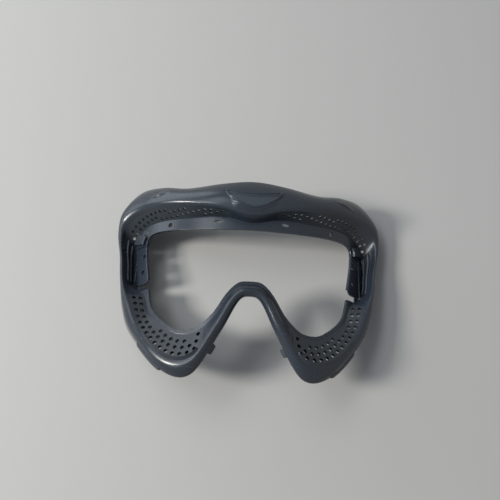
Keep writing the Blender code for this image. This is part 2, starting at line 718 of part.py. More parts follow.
def main():
    for item in list(bpy.data.objects):
        bpy.data.objects.remove(item, do_unlink=True)
    scene = bpy.context.scene
    parts = bpy.data.collections.new("sports_goggles")
    cutters = bpy.data.collections.new("cutters")
    scene.collection.children.link(parts)
    scene.collection.children.link(cutters)

    shell = make_material("shell_plastic", *SHELL_LOOK)
    carrier = make_material("carrier_plastic", *CARRIER_LOOK)
    screen = make_material("screen_plastic", *SCREEN_LOOK)
    trim = make_material("trim_plastic", *TRIM_LOOK)

    build_goggle_shell(parts, shell)
    build_face_flange(parts, shell)
    build_lens_carrier(parts, cutters, carrier)
    build_badge(parts, trim)
    build_brow_ridge(parts, trim)
    for side in ("left", "right"):
        build_screen("brow_vent_" + side, BROW_VENT, VENT_HOLE, brow_holes(), side,
                     parts, cutters, screen)
        build_screen("cheek_vent_" + side, CHEEK_VENT, CHEEK_HOLE, cheek_holes(), side,
                     parts, cutters, screen)
        build_clip(side, parts, cutters, carrier)
        for place, share in zip(("outer", "inner"), RIB_SHARES):
            build_rib("rib_" + place + "_" + side, share, side, parts, trim)
        build_stop(side, parts, trim)
        build_wall_pad("mask_lug_" + side, LUG_STATIONS, *LUG_ROWS, LUG_THICKNESS, side,
                       parts, trim)
        build_wall_pad("nose_hook_" + side, HOOK_STATIONS, *HOOK_ROWS, HOOK_THICKNESS, side,
                       parts, trim)
    centre_on_origin((parts, cutters))
    for cutter in cutters.objects:
        cutter.hide_render = True
        cutter.display_type = "WIRE"


main()
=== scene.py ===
# %% [markdown]
# Sports goggle frame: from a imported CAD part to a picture
#
# The real object is a dark blue-black plastic frame that lies on its back.  The CAD model gives
# every piece its place and size.  This lesson gives each piece the surface that the eye sees:
# a rounded rim, beaded ribs, holes with soft edges and plastic that is a little worn.

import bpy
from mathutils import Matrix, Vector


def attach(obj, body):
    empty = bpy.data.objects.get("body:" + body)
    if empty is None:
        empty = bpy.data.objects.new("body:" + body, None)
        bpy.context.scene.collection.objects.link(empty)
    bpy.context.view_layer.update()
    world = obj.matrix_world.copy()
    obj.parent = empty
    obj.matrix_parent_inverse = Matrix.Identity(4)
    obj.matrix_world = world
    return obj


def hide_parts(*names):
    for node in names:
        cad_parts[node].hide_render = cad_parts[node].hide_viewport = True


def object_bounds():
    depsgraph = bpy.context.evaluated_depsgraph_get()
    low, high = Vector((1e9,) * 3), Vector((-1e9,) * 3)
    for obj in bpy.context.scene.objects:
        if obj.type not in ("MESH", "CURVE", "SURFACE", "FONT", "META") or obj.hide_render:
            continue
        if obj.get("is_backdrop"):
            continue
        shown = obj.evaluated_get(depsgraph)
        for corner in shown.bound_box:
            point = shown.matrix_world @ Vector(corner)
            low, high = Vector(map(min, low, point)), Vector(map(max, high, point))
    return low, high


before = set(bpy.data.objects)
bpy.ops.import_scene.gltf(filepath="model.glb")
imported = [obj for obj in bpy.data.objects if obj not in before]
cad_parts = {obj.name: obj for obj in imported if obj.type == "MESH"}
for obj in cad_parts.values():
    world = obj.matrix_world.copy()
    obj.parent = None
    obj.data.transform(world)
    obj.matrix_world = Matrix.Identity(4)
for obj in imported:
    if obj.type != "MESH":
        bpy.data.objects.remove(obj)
CAD_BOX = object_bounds()

# %% Imports
import math

import bmesh
import bpy
import numpy as np
from mathutils import Matrix, Vector

print("Blender", bpy.app.version_string)

# %% [markdown]
# The whole frame follows a few space curves, the rails: the edge of the opening, the foot of the
# wall round the lens seat, the front rim or crest, the widest line of the outer wall or flank,
# and the rear edge on the face side.  Each has 17 points round the right half, station 0 in the
# middle of the brow and station 16 in the middle of the nose bridge.  Every point gives x and y.
# CREST adds the rise of the rim above the lens seat and the depth of its lip.  FLANK and REAR
# add a height, as a percentage of the height of the seat.  The rails are the same as the CAD
# source's, so that every surface made here lies where its solid lies.

# %% Rails of the right half, in millimetres
OPENING = ((0, 21.6), (20, 21.8), (39, 23.0), (55, 24.5), (64.5, 24.6), (68.6, 21.5), (68.6, 12),
           (67.2, 3), (65.4, -7), (64, -17), (59.5, -29.3), (45.5, -41), (33, -41.8),
           (22.5, -33), (14.5, -20.5), (7.5, -13.5), (0, -12.4))
SEAT = ((0, 26.4), (20, 30.6), (39.5, 31.0), (56.5, 32.0), (69, 31.5), (77, 25.5), (79.5, 14),
        (79.0, 4), (77.0, -7), (67, -18), (61.4, -30.7), (46.1, -43.3), (32.2, -44.1),
        (22, -35.4), (13.7, -22), (6.9, -15.6), (0, -14.5))
CREST = ((0, 28.2, 9, 3.0), (20, 32.8, 10, 3.0), (40, 36.8, 11, 3.0), (59, 39.5, 12, 3.2),
         (75, 40.2, 13.5, 3.6), (85.3, 35, 18.6, 4.6), (86.8, 22, 19.8, 5.0),
         (84.5, 8, 18, 5.0), (82, -8, 17.4, 4.6), (77.5, -24, 15.0, 3.4), (69, -41.5, 11, 2.4),
         (51, -59.5, 7.5, 2.2), (33.5, -60.5, 6, 2.2), (20.8, -43, 6, 2.6),
         (11.8, -26.5, 5.5, 2.6), (5.4, -20.0, 5, 2.6), (0, -18.8, 5, 2.6))
FLANK = ((0, 55, 104.8), (20, 53, 102.4), (43, 51.6, 85.7), (60, 55, 66.7), (76, 55.5, 40.5),
         (88, 43, 28.6), (90.0, 30, 21.4), (86.8, 14, 19), (84.4, -4, 21.4),
         (81.0, -23, 28.6), (73.0, -42, 40.5), (52, -65.5, 69), (33, -69.2, 85.7),
         (17.0, -45.0, 97.6), (8.5, -28.4, 101.2), (4.4, -23.2, 102.4), (0, -22.2, 102.4))
REAR = ((0, 57, 71.4), (20, 55.5, 69), (43, 54.5, 54.8), (61, 58, 33.3), (78, 59, 7.1),
        (89.8, 46, 0), (91.4, 33, 0), (88.4, 17, 0), (85.8, -3, 0), (82.4, -23, 4.8),
        (74.0, -42, 16.7), (52.5, -63.5, 42.9), (33.5, -66, 59.5), (18.6, -42.5, 71.4),
        (10.4, -26.4, 76.2), (5.4, -20.6, 78.6), (0, -19.4, 78.6))
MM = 0.001
LAST_STATION = 16
LENS_RADIUS, LENS_HEIGHT, LENS_TILT = 0.101495, 0.0420, 0.025
SLIDE_Y = 0.00548           # takes the rails to the middle of the frame's outline
SIDES = ("left", "right")
print("rails:", len(OPENING), len(SEAT), len(CREST), len(FLANK), len(REAR), "points")

# %% [markdown]
# A rail is read at any station with a cubic that passes through its points.  Past both ends the
# curve meets its own mirror image, so the left half joins the right one without a corner.


# %% Curves through the points
def through(points, stations):
    """Cubic through four neighbouring points, each weighted by a polynomial of the station."""
    points = np.asarray(points, float)
    flip = np.ones(points.shape[1])
    flip[0] = -1
    padded = np.vstack([points[1] * flip, points, points[-2] * flip])
    stations = np.asarray(stations, float)
    index = np.clip(np.floor(stations).astype(int), 0, len(points) - 2)
    u = (stations - index)[:, None]
    p0, p1, p2, p3 = (padded[index + k] for k in range(4))
    return 0.5 * (2 * p1 + (p2 - p0) * u + (2 * p0 - 5 * p1 + 4 * p2 - p3) * u ** 2
                  + (3 * p1 - p0 - 3 * p2 + p3) * u ** 3)


def unit(vectors):
    """Each vector divided by its length."""
    return vectors / np.maximum(np.linalg.norm(vectors, axis=-1, keepdims=True), 1e-12)


def upward(vectors):
    """Each vector, turned over where it points down."""
    return vectors * np.where(vectors[:, 2:3] < 0, -1, 1)


print("rim between stations 2 and 3:", through(CREST, [2.5])[0, :2].round(1), "mm")


# %% Rails in space
def seat_height(x, y):
    """Height on a cylinder about a line along Y: its top less the drop of a circle at x."""
    return LENS_HEIGHT - LENS_RADIUS + np.sqrt(LENS_RADIUS ** 2 - x ** 2) + LENS_TILT * y


def on_seat(points, stations, rise=0.0):
    """Rail whose height is that of the lens seat plus a rise."""
    plan = through(points, stations)[:, :2] * MM
    height = seat_height(plan[:, 0], plan[:, 1]) + rise
    return np.column_stack([plan[:, 0], plan[:, 1] + SLIDE_Y, height])


def standing(points, stations):
    """Rail with a height of its own, as a percentage of the height of the lens seat."""
    rail = through(points, stations) * (MM, MM, LENS_HEIGHT / 100)
    return rail + (0.0, SLIDE_Y, 0.0)


def opening_rail(stations):
    """Edge of the opening."""
    return on_seat(OPENING, stations)


def seat_rail(stations):
    """Foot of the wall behind the rim."""
    return on_seat(SEAT, stations)


def crest_rail(stations):
    """Front rim, above the lens seat by the rise that CREST gives."""
    return on_seat(CREST, stations, through(CREST, stations)[:, 2] * MM)


def lip_rail(stations):
    """The rim moved down the wall by the depth of its lip."""
    crest = crest_rail(stations)
    return crest + unit(seat_rail(stations) - crest) * through(CREST, stations)[:, 3:4] * MM


def rear_rail(stations):
    """Edge on the face side, nowhere below the surface that the frame lies on."""
    rail = standing(REAR, stations)
    rail[:, 2] = np.maximum(rail[:, 2], 0.0)
    return rail


def flank_rail(stations):
    """Widest line of the outer wall."""
    return standing(FLANK, stations)


WIDEST = rear_rail(np.linspace(0, LAST_STATION, 161))[:, 0].max()
print("temple to temple: %.1f mm" % (2 * WIDEST / MM))

# %% [markdown]
# A moulded wall is one sheet with a thickness.  Most pieces start as a grid of points: one
# direction runs along the stations, the other across the section.  A grid becomes a mesh of
# quads, and the left piece is the mirror image of the right one with its faces turned over.


# %% Grids to meshes
def placed(name, data):
    """Object with this data, linked to the scene."""
    item = bpy.data.objects.new(name, data)
    bpy.context.scene.collection.objects.link(item)
    return item


def mesh_piece(name, points, faces):
    """Object from an array of points and an array or list of faces."""
    mesh = bpy.data.meshes.new(name)
    faces = faces.tolist() if isinstance(faces, np.ndarray) else faces
    mesh.from_pydata(np.asarray(points).reshape(-1, 3).tolist(), [], faces)
    return placed(name, mesh)


def quads(count, width, close_count=False, close_width=False):
    """Corner numbers of each cell of a grid, which may close on itself either way."""
    i = np.arange(count if close_count else count - 1)[:, None]
    j = np.arange(width if close_width else width - 1)[None, :]
    a = i * width + j
    b = i * width + (j + 1) % width
    c = ((i + 1) % count) * width + (j + 1) % width
    d = ((i + 1) % count) * width + j
    return np.stack([a, b, c, d], axis=-1).reshape(-1, 4)


def mirrored(rows):
    """The same points on the other side: x times -1."""
    return rows * (-1.0, 1.0, 1.0)


def sheet(name, rows, side="right", flip=False, keep=None):
    """Open sheet over a grid; keep picks its cells, and unused corners are dropped."""
    faces = quads(*rows.shape[:2])
    if keep is not None:
        faces = faces[keep.ravel()]
    if flip != (side == "left"):
        faces = faces[:, ::-1]
    used, index = np.unique(faces, return_inverse=True)
    points = (mirrored(rows) if side == "left" else rows).reshape(-1, 3)[used]
    return mesh_piece(name, points, index.reshape(-1, 4))


print("a grid of 3 by 4 points has", len(quads(3, 4)), "faces")


# %% Closed pieces
def outwards(item):
    """Turns the faces of a closed piece so that they all point out of it."""
    edit = bmesh.new()
    edit.from_mesh(item.data)
    bmesh.ops.delete(edit, geom=[v for v in edit.verts if not v.link_faces], context="VERTS")
    bmesh.ops.recalc_face_normals(edit, faces=edit.faces)
    edit.to_mesh(item.data)
    edit.free()
    return item


def slab(name, top, bottom, side="right"):
    """Closed piece between two grids of the same size: top, bottom and a wall round the edge."""
    count, width = top.shape[:2]
    number = np.arange(count * width).reshape(count, width)
    edge = np.concatenate([number[:, 0], number[-1, 1:], number[-2::-1, -1], number[0, -2:0:-1]])
    after = np.roll(edge, -1)
    faces = quads(count, width)
    below = faces[:, ::-1] + count * width
    wall = np.column_stack([edge, after, after + count * width, edge + count * width])
    points = np.concatenate([top.reshape(-1, 3), bottom.reshape(-1, 3)])
    if side == "left":
        points = mirrored(points)
    return outwards(mesh_piece(name, points, np.concatenate([faces, below, wall])))


print("closed pieces: a slab has a top, a bottom and a wall round its edge")


# %% Rings
def ring(right):
    """Right half (stations 0 to 16) and its mirror image, as one ring without double ends."""
    left = mirrored(right[1:-1][::-1])
    right = right.copy()
    right[[0, -1], ..., 0] = 0.0
    return np.concatenate([right, left])


def grid_normals(grid):
    """Cross product of the two grid directions, for a grid that is a ring along its stations."""
    along = np.roll(grid, -1, axis=0) - np.roll(grid, 1, axis=0)
    across = np.gradient(grid, axis=1)
    return unit(np.cross(across, along))


print("a ring of", len(ring(np.zeros((LAST_STATION + 1, 2, 3)))), "stations")

# %% [markdown]
# Thickness, rounded edges and holes come from modifiers, because Blender does them well: a
# Solidify for the wall, a Boolean for what is cut out and a Bevel for the edge that a mould
# leaves.  They are applied at once, so the piece that is kept is a plain mesh.

# %% Modifiers
WORK = []


def add_wall(item, thickness, offset=-1.0, even=True):
    """Thickness: offset -1 puts it behind the faces, 1 in front of them."""
    wall = item.modifiers.new("Wall", "SOLIDIFY")
    wall.thickness = thickness
    wall.offset = offset
    wall.use_even_offset = even


def add_mirror(item):
    """The other half, joined on at the middle."""
    mirror = item.modifiers.new("Mirror", "MIRROR")
    mirror.merge_threshold = 0.00001


def add_cut(item, tool, operation="DIFFERENCE"):
    """Takes the tool's shape away, or keeps only what lies in it."""
    cut = item.modifiers.new("Cut", "BOOLEAN")
    cut.operation = operation
    cut.object = tool
    cut.solver = "EXACT"
    WORK.append(tool)


def add_bevel(item, width, segments, angle):
    """Rounds the edges that are sharper than the angle, in degrees."""
    bevel = item.modifiers.new("Bevel", "BEVEL")
    bevel.width = width
    bevel.segments = segments
    bevel.limit_method = "ANGLE"
    bevel.angle_limit = math.radians(angle)
    bevel.miter_outer = "MITER_ARC"


def settle(item, angle=32.0):
    """Applies the modifiers, then shades smooth all but the edges sharper than the angle."""
    graph = bpy.context.evaluated_depsgraph_get()
    graph.update()
    mesh = bpy.data.meshes.new_from_object(item.evaluated_get(graph))
    item.modifiers.clear()
    item.data = mesh
    mesh.shade_smooth()
    mesh.set_sharp_from_angle(angle=math.radians(angle))
    while WORK:
        bpy.data.objects.remove(WORK.pop(), do_unlink=True)
    mesh.calc_loop_triangles()
    print("%-22s %6d triangles" % (item.name, len(mesh.loop_triangles)))
    return item


print("modifiers: wall, mirror, cut, bevel")

# %% Cutters
CUT_FLOOR, CUT_HEIGHT = -0.01, 0.07     # upright cutters start below the frame and end above it
DRILL_DEPTH, ROUND_SIDES, HEX_SIDES = 0.014, 24, 6


def cutter(name, edit):
    """Hidden object from an edit mesh, for add_cut."""
    mesh = bpy.data.meshes.new(name)
    edit.to_mesh(mesh)
    edit.free()
    item = placed(name, mesh)
    item.hide_render = True
    return item


def prisms(name, places, directions, width, depth, sides, stretch=1.0):
    """Cutters, each a prism about its own direction and stretched across the face."""
    edit = bmesh.new()
    for place, direction in zip(places, directions):
        axis = Vector(direction).normalized()
        aside = Vector((0, 1, 0)).cross(axis).normalized()
        turn = Matrix((aside, axis.cross(aside), axis)).transposed().to_4x4()
        matrix = (Matrix.Translation(Vector(place)) @ turn
                  @ Matrix.Diagonal((stretch, 1.0, 1.0, 1.0)))
        bmesh.ops.create_cone(edit, cap_ends=True, segments=sides, radius1=width / 2,
                              radius2=width / 2, depth=depth, matrix=matrix)
    return cutter(name, edit)


def upright(name, outline, side):
    """Cutter: an outline in plan, raised from below the frame to above it."""
    sign = -1 if side == "left" else 1
    edit = bmesh.new()
    corners = [edit.verts.new((sign * x, y + SLIDE_Y, CUT_FLOOR)) for x, y in outline]
    raised = bmesh.ops.extrude_face_region(edit, geom=[edit.faces.new(corners)])["geom"]
    bmesh.ops.translate(edit, vec=(0, 0, CUT_HEIGHT),
                        verts=[part for part in raised if isinstance(part, bmesh.types.BMVert)])
    bmesh.ops.recalc_face_normals(edit, faces=edit.faces)
    return cutter(name, edit)


print("drills are %.0f mm long" % (DRILL_DEPTH / MM))

# %% [markdown]
# The plastic.  Frames like this are moulded in a tough, flexible plastic that is almost black
# with some blue in it.  Its gloss is uneven: smooth where the mould was polished, duller on
# handled faces, with fine scratches and a few specks of dust.  One function builds the material,
# and each slot gets its own colour, roughness and amount of wear.


# %% Node helpers
def add_math(tree, operation, first, second):
    """Math node on the outputs of two nodes."""
    node = tree.nodes.new("ShaderNodeMath")
    node.operation = operation
    tree.links.new(first, node.inputs[0])
    tree.links.new(second, node.inputs[1])
    return node.outputs[0]


def add_noise(tree, place, scale, detail, stretch=(1, 1, 1)):
    """Noise on the place; a stretch below one draws it out along that axis."""
    mapping = tree.nodes.new("ShaderNodeMapping")
    mapping.inputs["Scale"].default_value = stretch
    tree.links.new(place, mapping.inputs["Vector"])
    texture = tree.nodes.new("ShaderNodeTexNoise")
    texture.inputs["Scale"].default_value = scale
    texture.inputs["Detail"].default_value = detail
    tree.links.new(mapping.outputs["Vector"], texture.inputs["Vector"])
    return texture.outputs["Fac"]


def add_ramp(tree, value, low, high, start, end):
    """Start where the value is low, end where it is high, and a straight line between."""
    node = tree.nodes.new("ShaderNodeMapRange")
    sockets = ("From Min", "From Max", "To Min", "To Max")
    for socket, number in zip(sockets, (low, high, start, end)):
        node.inputs[socket].default_value = number
    tree.links.new(value, node.inputs["Value"])
    return node.outputs["Result"]


def add_mix(tree, factor, first, second):
    """Mix of two colours, each a tuple or the output of a node."""
    node = tree.nodes.new("ShaderNodeMix")
    node.data_type = "RGBA"
    tree.links.new(factor, node.inputs["Factor"])
    for socket, value in (("A", first), ("B", second)):
        target = [s for s in node.inputs if s.name == socket and s.type == "RGBA"][0]
        if isinstance(value, tuple):
            target.default_value = (*value, 1.0)
        else:
            tree.links.new(value, target)
    return [s for s in node.outputs if s.type == "RGBA"][0]


def add_bump(tree, height, strength, distance):
    """Bump node, whose Normal input is free for a coarser bump below it."""
    node = tree.nodes.new("ShaderNodeBump")
    node.inputs["Strength"].default_value = strength
    node.inputs["Distance"].default_value = distance
    tree.links.new(height, node.inputs["Height"])
    return node


print("node helpers: math, noise, ramp, mix, bump")

# %% Plastic material
FLOW_SCALE, FLOW_STRETCH = 16, (1.0, 2.2, 1.0)
SCRATCH_SCALE, SCRATCH_STRETCH = 900, (0.06, 1.0, 1.0)
CLOUD_SCALE, PATCH_SCALE, SPECK_SCALE = 38, 70, 620
WAVE_SCALE, WAVE_STRENGTH, WAVE_DEPTH = 70, 0.22, 0.0005
GRAIN_SCALE, GRAIN_DEPTH = 2300, 0.00005
SPECK_TINT, SCRATCH_TINT, SCRATCH_DULL = 0.6, 0.22, 0.10
GLOSSIER, DULLER = 0.06, 0.07
PLASTIC_IOR, FLOW_GAIN = 1.50, 1.25


def plastic(name, colour, dust, roughness, grain, wear):
    """Noise drives colour and roughness, stretched noise the scratches, cells the dust."""
    material = bpy.data.materials.new(name)
    material.use_nodes = True
    tree = material.node_tree
    shader = tree.nodes["Principled BSDF"]
    shader.inputs["Metallic"].default_value = 0.0
    shader.inputs["IOR"].default_value = PLASTIC_IOR
    place = tree.nodes.new("ShaderNodeTexCoord").outputs["Object"]

    cells = tree.nodes.new("ShaderNodeTexVoronoi")
    cells.inputs["Scale"].default_value = SPECK_SCALE
    tree.links.new(place, cells.inputs["Vector"])
    specks = add_ramp(tree, cells.outputs["Distance"], 0.07, 0.11, 1.0, 0.0)
    patches = add_noise(tree, place, PATCH_SCALE, 2)
    patches = add_ramp(tree, patches, 0.56, 0.70, 0.0, SPECK_TINT * wear)
    dusty = add_math(tree, "MULTIPLY", specks, patches)

    flow = add_noise(tree, place, FLOW_SCALE, 3, FLOW_STRETCH)
    scratches = add_noise(tree, place, SCRATCH_SCALE, 2, SCRATCH_STRETCH)
    lighter = tuple(c * FLOW_GAIN for c in colour)
    tone = add_mix(tree, add_ramp(tree, flow, 0.35, 0.65, 0.0, 1.0), colour, lighter)
    scratched = add_ramp(tree, scratches, 0.68, 0.75, 0.0, SCRATCH_TINT * wear)
    tone = add_mix(tree, scratched, tone, dust)
    tree.links.new(add_mix(tree, dusty, tone, dust), shader.inputs["Base Color"])

    clouds = add_noise(tree, place, CLOUD_SCALE, 4)
    uneven = add_ramp(tree, clouds, 0.3, 0.7, roughness - GLOSSIER, roughness + DULLER)
    dulled = add_ramp(tree, scratches, 0.62, 0.74, 0.0, SCRATCH_DULL * wear)
    tree.links.new(add_math(tree, "ADD", uneven, dulled), shader.inputs["Roughness"])

    fine = add_bump(tree, add_noise(tree, place, GRAIN_SCALE, 2), grain, GRAIN_DEPTH)
    wave = add_bump(tree, add_noise(tree, place, WAVE_SCALE, 1), WAVE_STRENGTH, WAVE_DEPTH)
    tree.links.new(wave.outputs["Normal"], fine.inputs["Normal"])
    tree.links.new(fine.outputs["Normal"], shader.inputs["Normal"])
    return material


print("plastic: scratches at", SCRATCH_SCALE, "a metre, specks at", SPECK_SCALE)

# %% The four plastics
SHELL = plastic("shell_moulded_plastic", (0.016, 0.022, 0.031), (0.13, 0.14, 0.15),
                roughness=0.24, grain=0.25, wear=0.8)
SEATING = plastic("seat_moulded_plastic", (0.016, 0.022, 0.032), (0.12, 0.13, 0.14),
                  roughness=0.25, grain=0.30, wear=0.6)
SCREENING = plastic("screen_moulded_plastic", (0.018, 0.024, 0.031), (0.13, 0.14, 0.15),
                    roughness=0.38, grain=0.35, wear=0.7)
TRIM = plastic("trim_moulded_plastic", (0.030, 0.038, 0.048), (0.15, 0.16, 0.17),
               roughness=0.28, grain=0.25, wear=0.6)


def hand_over(item, body, slot, material, *nodes):
    """Material, body and the CAD nodes that the finished piece stands for; the slot is not used."""
    item.data.materials.clear()
    item.data.materials.append(material)
    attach(item, body)
    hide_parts(*nodes)
    return item


print("materials:", [m.name for m in (SHELL, SEATING, SCREENING, TRIM)])

# %% [markdown]
# The front moulding is the large outer shell.  Its section starts at the face side, swells over
# the widest line, rolls over the rim and ends at a lip inside the rim.  The same section, moved
# inwards by the wall, leads back.  Carried round all stations it makes one closed skin.

# %% Front moulding: its outer section
STEPS = 22                  # rows of points for each station
WALL, RIM_ROUND, FLANGE_CLEAR = 0.0015, 0.0023, 0.0019
CROWN, TURN_REACH = 0.12, 0.4   # how far the skin swells, and how far it turns at the flank
ROWS_SIDE, ROWS_SKIN, ROWS_RIM, ROWS_LIP = 9, 46, 9, 5


def rear_frame(stations):
    """Inward direction square to the rear edge in plan, and the direction square to its land."""
    step = 1e-3
    tangent = unit(rear_rail(stations + step) - rear_rail(stations - step))
    inward = unit(np.column_stack([tangent[:, 1], -tangent[:, 0], np.zeros(len(tangent))]))
    return inward, unit(np.cross(inward, tangent))


def skin_curve(stations):
    """End points and middle of the curve from the widest line to the rim."""
    flank, crest = flank_rail(stations), crest_rail(stations)
    span = crest - flank
    tangent = unit(np.gradient(crest, axis=0))
    bulge = unit(np.cross(span, tangent)) * np.linalg.norm(span, axis=1, keepdims=True) * CROWN
    return flank, (flank + crest) / 2 + upward(bulge) * 2, crest


def bent(start, middle, end, share):
    """Quadratic curve: the start weighs (1-s)^2, the middle 2s(1-s) and the end s^2."""
    return (1 - share) ** 2 * start + 2 * share * (1 - share) * middle + share ** 2 * end


def outer_section(stations):
    """Rows from the rear edge over the widest line and the rim to the lip."""
    inward, up = rear_frame(stations)
    flank, middle, crest = skin_curve(stations)
    lean = np.sum(unit(flank - rear_rail(stations)) * inward, axis=1, keepdims=True)
    rear = rear_rail(stations) + up * (FLANGE_CLEAR + WALL * np.maximum(lean, 0.0))
    lip = lip_rail(stations)
    inside = unit(lip - crest)
    last = 1 - RIM_ROUND / (2 * np.linalg.norm(crest - middle, axis=1, keepdims=True))
    depth = np.linalg.norm(flank - rear, axis=1, keepdims=True)
    turn = flank + unit(flank - middle) * depth * TURN_REACH
    rows = [bent(rear, turn * 0.5 + (rear + flank) * 0.25, flank, s)
            for s in np.linspace(0, 1, ROWS_SIDE, endpoint=False)]
    rows += [bent(flank, middle, crest, s * last)
             for s in np.linspace(0, 1, ROWS_SKIN, endpoint=False)]
    start, end = bent(flank, middle, crest, last), crest + inside * RIM_ROUND
    rows += [bent(start, crest, end, s) for s in np.linspace(0, 1, ROWS_RIM, endpoint=False)]
    rows += [end + (lip - end) * s for s in np.linspace(0, 1, ROWS_LIP)]
    return np.stack(rows, axis=1)


OUTER = outer_section(np.linspace(0, LAST_STATION, LAST_STATION * STEPS + 1))
print("outer section grid:", OUTER.shape)

# %% [markdown]
# A low bar marks each shoulder.  It is too small to need a piece of its own, so the skin is
# lifted there: a bell curve across the bar gives the height, and a longer one along it lets the
# bar fade at both ends.

# %% Front moulding: shoulder bars
BAR_MIDDLE, BAR_LEAN = (0.0620, 0.0525), 0.25
BAR_HALF, BAR_WIDTH, BAR_HEIGHT = 0.0085, 0.0012, 0.0010


def bell(value, width):
    """Bell curve: e to the power of minus the square of value over width."""
    return np.exp(-(value / width) ** 2)


def shoulder_bar():
    """Height above the plain skin: a bell across the bar times the cube of one along it."""
    away = OUTER[..., :2] - BAR_MIDDLE
    along = away[..., 0] - BAR_LEAN * away[..., 1]
    across = BAR_LEAN * away[..., 0] + away[..., 1]
    return bell(across, BAR_WIDTH) * bell(along / BAR_HALF, 1.0) ** 3 * BAR_HEIGHT


LIFT = shoulder_bar()
print("shoulder bar: up to %.2f mm" % (LIFT.max() / MM))

# %% Front moulding: the closed skin
BACK_SHARE = 0.80           # how far up the skin the inner wall reaches


def front_moulding():
    """Outer rows, then the same rows moved in by the wall, joined at the rear edge and lip."""
    outer = ring(OUTER)
    lift = np.concatenate([LIFT, LIFT[1:-1][::-1]])
    normals = grid_normals(outer)
    if np.mean(np.sum(normals * (outer - outer.mean(axis=(0, 1))), axis=2)) < 0:
        normals = -normals
    outer = outer + normals * lift[..., None]
    back = ROWS_SIDE + int(ROWS_SKIN * BACK_SHARE)
    inner = (outer - normals * WALL)[:, :back]
    lip_back = outer[:, -1] - normals[:, -1] * WALL
    bridge = [lip_back, lip_back * 0.5 + inner[:, -1] * 0.5]
    full = np.concatenate([outer, np.stack(bridge, axis=1), inner[:, ::-1]], axis=1)
    return full, back


SKIN, BACK = front_moulding()
print("front moulding grid:", SKIN.shape)

# %% [markdown]
# A slot for the head strap goes through the wall of each temple.  The inner wall is the same
# grid as the outer one, so a cell and the cell behind it are left out together, and four small
# walls join their edges.

# %% Front moulding: strap slots
SLOT_Y, SLOT_Z, SLOT_LENGTH, SLOT_WIDTH, SLOT_FROM_X = 0.0130, 0.0070, 0.0340, 0.0056, 0.075
NEIGHBOURS = (((-1, 0), ((0, 0), (0, 1))), ((1, 0), ((1, 1), (1, 0))),
              ((0, -1), ((1, 0), (0, 0))), ((0, 1), ((0, 1), (1, 1))))  # step, and edge crossed


def in_slot(faces):
    """True for each cell whose middle lies in a strap slot."""
    middle = SKIN.reshape(-1, 3)[faces].mean(axis=1)
    inside = np.abs(middle[:, 1] - SLOT_Y - SLIDE_Y) < SLOT_LENGTH / 2
    inside &= np.abs(middle[:, 2] - SLOT_Z) < SLOT_WIDTH / 2
    return inside & (np.abs(middle[:, 0]) > SLOT_FROM_X)


def front_object():
    """The closed skin with the slot cells taken out and the slot's own walls put in."""
    count, width = SKIN.shape[:2]
    faces = quads(count, width, True, True)
    station, column = faces[:, 0] // width, faces[:, 0] % width
    outer = column < OUTER.shape[1] - 1
    cut = in_slot(faces) & outer & (column < BACK - 1)
    open_cells = {(s, c) for s, c in zip(station[cut], column[cut])}
    drop = np.array([(s, c) in open_cells or (s, width - 2 - c) in open_cells and not o
                     for s, c, o in zip(station, column, outer)])
    walls = []
    for s, c in open_cells:
        for (ds, dc), edge in NEIGHBOURS:
            if ((s + ds) % count, c + dc) in open_cells:
                continue
            (p, a), (q, b) = [((s + i) % count * width, c + j) for i, j in edge]
            walls.append([p + a, p + width - 1 - a, q + width - 1 - b, q + b])
    faces = np.concatenate([faces[~drop], np.array(walls)])
    return outwards(mesh_piece("front_moulding", SKIN, faces))


hand_over(settle(front_object(), angle=50), "frame", "shell_plastic", SHELL, "goggle_shell")

# %% [markdown]
# The lens seat is a curved land behind the rim.  The wall from the lip down to the seat and the
# seat itself are one sheet.  Where the screens sit, the wall is left open, and a bay is cut for
# each lens clip.

# %% Lens seat: its grid
def inner_point(stations, share, start=0.0):
    """Share 0 is start below the lip, 1 the foot of the wall and 2 the edge of the opening."""
    lip, seat, opening = lip_rail(stations), seat_rail(stations), opening_rail(stations)
    lip = lip + unit(seat - lip) * start
    wall = lip + (seat - lip) * min(share, 1.0)
    return wall + (opening - seat) * max(share - 1.0, 0.0)


def inner_grid(stations, shares, start=0.0):
    """Grid of inner points, from the wall down and across the seat."""
    return np.stack([inner_point(stations, s, start) for s in shares], axis=1)


def lens_normal(place):
    """Direction square to the lens seat: outwards from the axis of its cylinder."""
    return (place[0] / LENS_RADIUS, 0.0, math.sqrt(1 - (place[0] / LENS_RADIUS) ** 2))


FOOT_X = seat_rail(np.arange(LAST_STATION + 1.0))[:, 0].max()
print("the seat leans %.0f degrees at a temple" % math.degrees(math.asin(FOOT_X / LENS_RADIUS)))

# %% Lens seat: the piece
SEAT_WALL, SEAT_EDGE, SEAT_STEPS = 0.0016, 0.00028, 12
EDGE_WEAR = 0.00003         # the opening was trimmed by hand, so its edge isn't quite fair
WEAR_RATES = (7.1, 17.3, 29.9)
BROW_VENT, CHEEK_VENT = (0.75, 5.5), (8.75, 12.5)
SEAT_HOLES = ((2.83, 1.50, 0.0031, 0.0031), (1.07, 1.40, 0.0024, 0.0050))   # width, then length
CLIP_HINGE_X, CLIP_TOP_Y, CLIP_BOTTOM_Y = 0.0760, 0.0175, -0.0095
CLIP_FREE_X, CLIP_NOTCH, CLIP_NOTCH_X, CLIP_CLEARANCE = 0.0560, 0.0042, 0.0710, 0.0005


def clip_bay():
    """Outline in plan of the bay: the clip's own with room round it and a notch at its foot."""
    foot, notch = CLIP_BOTTOM_Y - CLIP_CLEARANCE, CLIP_BOTTOM_Y - CLIP_NOTCH
    return [(CLIP_FREE_X, CLIP_TOP_Y), (CLIP_HINGE_X, CLIP_TOP_Y), (CLIP_HINGE_X, foot),
            (CLIP_NOTCH_X, foot), (CLIP_NOTCH_X, notch), (CLIP_FREE_X, notch)]


